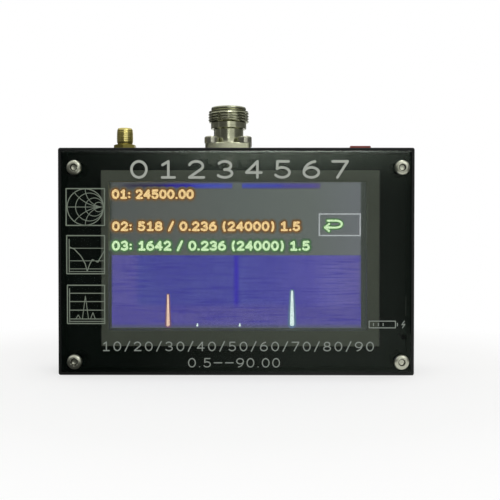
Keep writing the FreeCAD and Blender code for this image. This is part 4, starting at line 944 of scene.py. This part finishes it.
def peak_chart(x, z):
    """A spectrum with one tall peak and a small one each side, over five level lines."""
    corner = np.array([x[0], z[0]])
    right = x[1] - x[0] - CHART_MARGIN
    levels = [line((0.8, height), (right, height)) for height in (11.3, 8.2, 5.0, 1.7, 0.8)]
    axis = line((0.8, 0.6), (0.8, 13.0))
    peaks = []
    for foot, top, height in ((5.55, 6.7, 10.2), (3.1, 4.0, 3.2), (8.6, 9.5, 4.1)):
        peaks.extend([line((foot, 1.7), (top, height)), line((top, height), (2 * top - foot, 1.7))])
    return [corner + path for path in (axis, *levels)], [corner + path for path in peaks]


def chart_marks():
    """The three chart symbols at the left, each in its own frame."""
    outlines = [edge for x, z in CHARTS for edge in rectangle(x, z)]
    bold = []
    faint = []
    for draw, (x, z) in zip((smith_chart, dip_chart, peak_chart), CHARTS):
        chart_bold, chart_faint = draw(x, z)
        bold.extend(chart_bold)
        faint.extend(chart_faint)
    weights = ((outlines, FRAME_STROKE), (bold, CURVE_STROKE), (faint, FAINT_STROKE))
    shells = [strokes(paths, width, INK_T, PANEL_FACE) for paths, width in weights]
    add_piece("chart_marks", *joined(shells), chart_ink)


def title_marks():
    """Eight large figures, evenly spread, where the instrument's name plate would be."""
    half = TITLE_DIGIT_W / 2
    middles = np.linspace(TITLE_X[0] + half, TITLE_X[1] - half, len(TITLE_DIGITS))
    paths = []
    for place, sign in zip(middles, TITLE_DIGITS):
        paths.extend(written(sign, (place - half, place + half), TITLE_Z, TITLE_STROKE))
    add_piece("title_figures", *strokes(paths, TITLE_STROKE, INK_T, PANEL_FACE), title_ink)


def scale_marks():
    """The two lines of small figures under the display."""
    scale = written("10/20/30/40/50/60/70/80/90", SCALE_X, SCALE_Z, SCALE_STROKE, SCALE_GAP)
    span = written("0.5--90.00", RANGE_X, RANGE_Z, RANGE_STROKE, RANGE_GAP)
    weights = ((scale, SCALE_STROKE), (span, RANGE_STROKE))
    shells = [strokes(paths, width, INK_T, PANEL_FACE) for paths, width in weights]
    add_piece("scale_figures", *joined(shells), small_ink)


def battery_marks():
    """A battery with a bolt beside it, over the charging light."""
    x, z = BATTERY_MARK_X, BATTERY_MARK_Z
    middle = sum(z) / 2
    paths = rectangle(x, z)
    pole, half = x[1] + BATTERY_POLE[0], BATTERY_POLE[1]
    paths.append(line((pole, middle - half), (pole, middle + half)))
    for bar in (x[0] + inset for inset in BATTERY_BARS):
        paths.append(line((bar, z[0] + BATTERY_BAR_GAP), (bar, z[1] - BATTERY_BAR_GAP)))
    bolt = x[1] + BOLT_AWAY
    turns = ((bolt + 0.4, z[1]), (bolt - 0.5, middle - 0.1), (bolt + 0.6, middle + 0.1), (bolt - 0.3, z[0]))
    paths.extend([line(*ends) for ends in zip(turns, turns[1:])])
    add_piece("battery_mark", *strokes(paths, CURVE_STROKE, INK_T, PANEL_FACE), small_ink)


chart_marks()
title_marks()
scale_marks()
battery_marks()

# ---------------------------------------------------------------- the lit picture


def flat_plate(x, z, level, thickness):
    """A thin upright plate whose back lies on y = level."""
    corners = [(x[0], z[0]), (x[1], z[0]), (x[1], z[1]), (x[0], z[1])]
    back = [(px, level, pz) for px, pz in corners]
    face = [(px, level - thickness, pz) for px, pz in corners]
    sides = [[side, (side + 1) % 4, 4 + (side + 1) % 4, 4 + side] for side in range(4)]
    return np.array(back + face), [[0, 1, 2, 3], [4, 5, 6, 7], *sides]


def display_picture():
    """Thin layers of light on the display's glass: the border, a painted glow over the shaded gap inside the
    foam window, the field, and then, each LIT_T farther forward, the haze, the halos and the figures."""
    lights = {}
    for tint, codes in TINTS.items():
        for part, code in codes.items():
            lights[part, tint] = lit(f"{part}_{tint}", code)
    first = CELL_FACE - 2 * LIT_T
    second = first - LIT_T
    third = second - LIT_T
    border = flat_plate(BORDER_X, BORDER_Z, CELL_FACE, LIT_T)
    add_piece("lit_border", *border, lights["lit", "border"])
    add_piece("lit_field", *flat_plate(LIT_X, LIT_Z, CELL_FACE - LIT_T, LIT_T), picture_light())
    for number, (text, x, z, tint) in enumerate(LINES, 1):
        paths = written(text, x, z, LINE_STROKE)
        add_piece(f"line_{number}_haze", *strokes(paths, LINE_HAZE, LIT_T, first), lights["haze", tint])
        add_piece(f"line_{number}_halo", *strokes(paths, LINE_HALO, LIT_T, second), lights["halo", tint])
        add_piece(f"line_{number}_figures", *strokes(paths, LINE_STROKE, LIT_T, third), lights["lit", tint])
    for number, (place, top, width, tint) in enumerate(SPIKES, 1):
        path = [line((place, LIT_Z[0] + width), (place, (LIT_Z[0] + top) / 2), (place, top - width))]
        halo = strokes(path, SPIKE_HALO * width, LIT_T, first, taper=SPIKE_HALO_TAPER)
        add_piece(f"spike_{number}_halo", *halo, lights["halo", tint])
        spike = strokes(path, width, LIT_T, second, taper=SPIKE_TAPER)
        add_piece(f"spike_{number}", *spike, lights["lit", tint])
    dots = [line((place, LIT_Z[0] + SPARK_Z[0]), (place, LIT_Z[0] + SPARK_Z[1])) for place in SPARKS]
    sparks = strokes(dots, SPARK_STROKE, LIT_T, first, taper=SPARK_TAPER)
    add_piece("graph_sparks", *sparks, lights["lit", "ice"])
    outline = strokes(rectangle(SCREEN_KEY_X, SCREEN_KEY_Z), SCREEN_KEY_STROKE, LIT_T, first)
    add_piece("key_outline", *outline, lights["lit", "grey"])
    arrow = [line(*ARROW_START), arc(*ARROW_BEND), *[line(*ends) for ends in ARROW_REST]]
    add_piece("key_arrow_halo", *strokes(arrow, ARROW_HALO, LIT_T, first), lights["halo", "green"])
    add_piece("key_arrow", *strokes(arrow, ARROW_STROKE, LIT_T, second), lights["lit", "green"])
    for side, (span, stops) in (("left", BAR_LEFT), ("right", BAR_RIGHT)):
        light = lit_bar(f"lit_bar_{side}", span, stops)
        add_piece(f"top_bar_{side}", *flat_plate(span, BARS_Z, first, LIT_T), light)


display_picture()

# ---------------------------------------------------------------- marks on the rocker


def rocker_marks():
    """A stroke on the rear half of the key and a ring on the front half, lying on its two slopes."""
    low, high = box_mm("rocker_button")
    well_low, well_high = box_mm("rocker_housing")
    pivot = np.array([(low[0] + high[0]) / 2, (well_low[1] + well_high[1]) / 2, ROCKER_PIVOT_Z])
    turn = math.radians(ROCKER_TURN)
    tilt = np.array([[1, 0, 0], [0, math.cos(turn), -math.sin(turn)], [0, math.sin(turn), math.cos(turn)]])
    bar = line((0, -ROCKER_STROKE_HALF), (0, ROCKER_STROKE_HALF))
    ring = arc(0, 0, *ROCKER_RING, 0, 360, 32)
    shells = []
    for side, path in ((1, bar), (-1, ring)):
        slope = math.radians(ROCKER_SLOPE) * side
        climb = np.array([0, math.cos(slope), math.sin(slope)])
        out = np.array([0, -math.sin(slope), math.cos(slope)])
        foot = np.array([0, side * ROCKER_MARK_OUT, ROCKER_VALLEY + ROCKER_MARK_OUT * math.tan(abs(slope))])
        axes = (tilt @ np.array([1.0, 0, 0]), tilt @ climb, tilt @ out)
        shells.append(strokes([path], ROCKER_MARK_STROKE, INK_T, 0.0, axes, pivot + tilt @ foot))
    add_piece("rocker_marks", *joined(shells), title_ink, "rocker")


rocker_marks()

# ---------------------------------------------------------------- floor, light and camera

# The round table: where the case's shadow begins to fade, and where plain white begins, in mm.
FLOOR_R = 200.0
FLOOR_SIDES = 96
SHADOW_KEPT = 110.0
PLAIN_FROM = 190.0
SHADOW_LIGHTENED = 0.6
AMBIENT = 0.74

# What gloss sees of the studio, by degrees round from the front, positive to the right: a white backdrop
# behind the object, a window wall in front, and narrow pale strips between dark cloths. The low row passes
# into the high one over WALL_RISE, and both into the ceiling over CEILING_RISE, as parts of the direction.
BRIGHTEST = 1.6
CEILING = 0.8
WALL_RISE = (0.05, 0.12)
CEILING_RISE = (0.3, 0.55)
WALL_HIGH = (
    (-180, 1.0), (-162, 1.0), (-157, 0.12), (-127, 0.12), (-122, 0.5), (-117, 0.14), (-70, 0.12),
    (-65, 0.35), (-60, 0.12), (-13, 0.14), (-7, 0.3), (-2, 0.9), (6, 1.4), (14, 1.0), (44, 0.9), (52, 0.2),
    (131, 0.12), (137, 0.5), (143, 0.12), (157, 0.12), (162, 1.0), (180, 1.0),
)
WALL_LOW = (
    (-180, 1.0), (-162, 1.0), (-157, 0.1), (-10, 0.08), (0, 0.3), (10, 0.4), (44, 0.45), (52, 0.1),
    (157, 0.1), (162, 1.0), (180, 1.0),
)

# A long lamp low over the horizon in front: its share round, and its share by height above the horizon.
STRIP = 8.4
STRIP_ROUND = (
    (-13, 0.0), (-9, 0.08), (-6, 0.33), (-3.8, 0.77), (-1.5, 1.0), (3, 0.92), (6, 0.58), (8.2, 0.43),
    (10, 0.2), (15, 0.0),
)
STRIP_HIGH = ((0.075, 0.0), (0.093, 0.35), (0.102, 1.0), (0.106, 1.0), (0.11, 0.0))

# The long soft light overhead, which draws the bright line along the panel's upper bevel: its shares by
# the X part and by the Y part of the direction.
OVERHEAD = 17.0
OVERHEAD_ALONG = (
    (-0.2, 0.0), (-0.115, 0.27), (-0.066, 0.73), (0.019, 1.0), (0.09, 0.92), (0.128, 0.71), (0.164, 0.3),
    (0.2, 0.06), (0.25, 0.0),
)
OVERHEAD_ACROSS = ((0.02, 0.0), (0.06, 1.0), (0.17, 1.0), (0.21, 0.0))

# How bright gloss sees the table: a painted dark reflection at its left end, rising to bare white at its
# right, in mm.
GLOSS_SHADE_X = (-45.0, 25.0)
GLOSS_SHADE_LEVEL = (0.06, 0.8)

# The lamp, in metres, and the camera: place in mm, how far it looks down, to the right and rolls in degrees,
# and its lens and sensor in mm.
LAMP_PLACE = (0.45, -0.65, 0.7)
LAMP_AIM = (0.0, 0.0, 0.05)
LAMP_SIZE = (0.5, 0.45)
LAMP_RADIANCE = 1.6
CAMERA_PLACE = (6.66, -315.0, 51.43)
CAMERA_TURNS = (0.87, -0.28, 0.03)
CAMERA_LENS = 58.02
CAMERA_SENSOR = 36.0


def pale_floor():
    """A round matt white table. It turns to plain white before its rim, as the backdrop beyond it is, and
    near the case it keeps the shadow. Gloss alone sees a painted dark reflection on its left side."""
    material, tree, shader, place = new_finish("matt_white_floor")
    set_inputs(shader, {"Base Color": paint("f4f4f2"), "Roughness": 0.9, "Specular IOR Level": 0.0})
    far = add_node(tree, "ShaderNodeVectorMath", {0: place}, operation="LENGTH").outputs["Value"]
    reach = {"Value": far, "From Min": SHADOW_KEPT * MM, "From Max": PLAIN_FROM * MM}
    reach["To Min"] = SHADOW_LIGHTENED
    share = add_node(tree, "ShaderNodeMapRange", reach).outputs["Result"]
    ray = add_node(tree, "ShaderNodeLightPath").outputs
    seen = {0: ray["Is Camera Ray"], 1: ray["Is Transmission Ray"]}
    seen = add_node(tree, "ShaderNodeMath", seen, operation="ADD").outputs[0]
    plain = {0: share, 1: seen, 2: ray["Is Glossy Ray"]}
    plain = add_node(tree, "ShaderNodeMath", plain, operation="MULTIPLY_ADD", use_clamp=True)
    along = add_node(tree, "ShaderNodeSeparateXYZ", {"Vector": place}).outputs["X"]
    # painted reflection: gloss sees the table darker towards its left
    gloss_shade = {"Value": along, "From Min": GLOSS_SHADE_X[0] * MM, "From Max": GLOSS_SHADE_X[1] * MM}
    gloss_shade["To Min"], gloss_shade["To Max"] = GLOSS_SHADE_LEVEL
    gloss_shade = add_node(tree, "ShaderNodeMapRange", gloss_shade).outputs["Result"]
    level = add_node(tree, "ShaderNodeMix", {0: ray["Is Glossy Ray"], 2: 1.0, 3: gloss_shade}).outputs[0]
    white = add_node(tree, "ShaderNodeEmission", {"Color": paint("ffffff"), "Strength": level})
    inputs = {0: plain.outputs[0], 1: shader.outputs["BSDF"], 2: white.outputs[0]}
    blend = add_node(tree, "ShaderNodeMixShader", inputs)
    set_inputs(tree.nodes["Material Output"], {"Surface": blend.outputs[0]})
    rim = arc(0, 0, FLOOR_R * MM, FLOOR_R * MM, 0, 360, FLOOR_SIDES + 1)[:-1]
    mesh = bpy.data.meshes.new("floor")
    mesh.from_pydata(np.column_stack([rim, np.zeros(len(rim))]).tolist(), [], [list(range(len(rim)))])
    mesh.materials.append(material)
    floor = placed("floor", mesh)


def studio_world():
    """White where the camera looks past the object, and an even, plain light on matt surfaces. Gloss and
    glass see the walls' two rows of levels, the long low lamp in front, the ceiling above them, and the
    soft light overhead."""
    world = bpy.data.worlds.new("studio")
    bpy.context.scene.world = world
    world.use_nodes = True
    tree = world.node_tree
    ray = add_node(tree, "ShaderNodeLightPath").outputs
    place = add_node(tree, "ShaderNodeTexCoord").outputs["Generated"]
    split = add_node(tree, "ShaderNodeSeparateXYZ", {"Vector": place}).outputs
    ahead = add_node(tree, "ShaderNodeMath", {0: split["Y"], 1: -1.0}, operation="MULTIPLY").outputs[0]
    turn = add_node(tree, "ShaderNodeMath", {0: split["X"], 1: ahead}, operation="ARCTAN2").outputs[0]
    whole = {"Value": turn, "From Min": -math.pi, "From Max": math.pi}
    turn = add_node(tree, "ShaderNodeMapRange", whole).outputs["Result"]
    rows = []
    for levels, brightest in ((WALL_LOW, BRIGHTEST), (WALL_HIGH, BRIGHTEST), (STRIP_ROUND, 1.0)):
        stops = shares([((degrees + 180) / 360, level / brightest) for degrees, level in levels])
        rows.append(add_node(tree, "ShaderNodeValToRGB", {"Fac": turn}, stops).outputs["Color"])
    lifted = add_node(tree, "ShaderNodeValToRGB", {"Fac": split["Z"]}, shares(STRIP_HIGH)).outputs["Color"]
    strip = add_node(tree, "ShaderNodeMath", {0: rows[2], 1: lifted}, operation="MULTIPLY").outputs[0]
    rises = []
    for low, high in (WALL_RISE, CEILING_RISE):
        rise = {"Value": split["Z"], "From Min": low, "From Max": high}
        rises.append(add_node(tree, "ShaderNodeMapRange", rise).outputs["Result"])
    higher, over = rises
    wall = add_node(tree, "ShaderNodeMix", {0: higher, 6: rows[0], 7: rows[1]}, data_type="RGBA").outputs[2]
    wall = add_node(tree, "ShaderNodeMath", {0: wall, 1: BRIGHTEST}, operation="MULTIPLY").outputs[0]
    room = {0: strip, 1: STRIP, 2: wall}
    room = add_node(tree, "ShaderNodeMath", room, operation="MULTIPLY_ADD").outputs[0]
    room = add_node(tree, "ShaderNodeMix", {0: over, 2: room, 3: CEILING}).outputs[0]
    lamp = add_node(tree, "ShaderNodeMath", {0: over, 1: OVERHEAD}, operation="MULTIPLY").outputs[0]
    for axis, profile in (("X", OVERHEAD_ALONG), ("Y", OVERHEAD_ACROSS)):
        part = {"Value": split[axis], "From Min": -1.0}
        part = add_node(tree, "ShaderNodeMapRange", part).outputs["Result"]
        stops = shares([((reach + 1) / 2, share) for reach, share in profile])
        part = add_node(tree, "ShaderNodeValToRGB", {"Fac": part}, stops).outputs["Color"]
        lamp = add_node(tree, "ShaderNodeMath", {0: lamp, 1: part}, operation="MULTIPLY").outputs[0]
    room = add_node(tree, "ShaderNodeMath", {0: room, 1: lamp}, operation="ADD").outputs[0]
    matt = add_node(tree, "ShaderNodeMix", {0: ray["Is Diffuse Ray"], 2: room, 3: AMBIENT}).outputs[0]
    seen = add_node(tree, "ShaderNodeMix", {0: ray["Is Camera Ray"], 2: matt, 3: 1.0}).outputs[0]
    set_inputs(tree.nodes["Background"], {"Color": paint("ffffff"), "Strength": seen})


def pose_towards(place, ahead, roll=0.0):
    """The pose of a lamp or a camera: at place, looking along ahead, and rolled about that direction."""
    side = np.cross(ahead, [0, 0, 1])
    side /= np.linalg.norm(side)
    top = np.cross(side, ahead)
    rolled_side = side * math.cos(roll) + top * math.sin(roll)
    rolled_top = top * math.cos(roll) - side * math.sin(roll)
    pose = np.eye(4)
    pose[:3, :3] = np.column_stack([rolled_side, rolled_top, -ahead])
    pose[:3, 3] = place
    return Matrix(pose.tolist())


def key_box():
    """The one lamp, high on the right: a soft rectangle. Its power is radiance times pi times its area."""
    lamp = bpy.data.lights.new("key_box", "AREA")
    lamp.shape = "RECTANGLE"
    lamp.size, lamp.size_y = LAMP_SIZE
    lamp.energy = LAMP_RADIANCE * math.pi * LAMP_SIZE[0] * LAMP_SIZE[1]
    holder = placed("key_box", lamp)
    holder.visible_camera = False
    ahead = np.array(LAMP_AIM) - np.array(LAMP_PLACE)
    holder.matrix_world = pose_towards(LAMP_PLACE, ahead / np.linalg.norm(ahead))


def front_camera():
    """The view: 300 mm in front of the case, a little right of its middle, looking slightly down."""
    down, turn, roll = np.radians(CAMERA_TURNS)
    level = math.cos(down)
    ahead = np.array([math.sin(turn) * level, math.cos(turn) * level, -math.sin(down)])
    camera = placed("camera", bpy.data.cameras.new("camera"))
    camera.matrix_world = pose_towards(np.array(CAMERA_PLACE) * MM, ahead, roll)
    camera.data.sensor_width = CAMERA_SENSOR
    camera.data.lens = CAMERA_LENS
    camera.data.clip_start = 0.01
    bpy.context.scene.camera = camera


pale_floor()
studio_world()
key_box()
front_camera()
bpy.context.scene.view_settings.view_transform = "Standard"
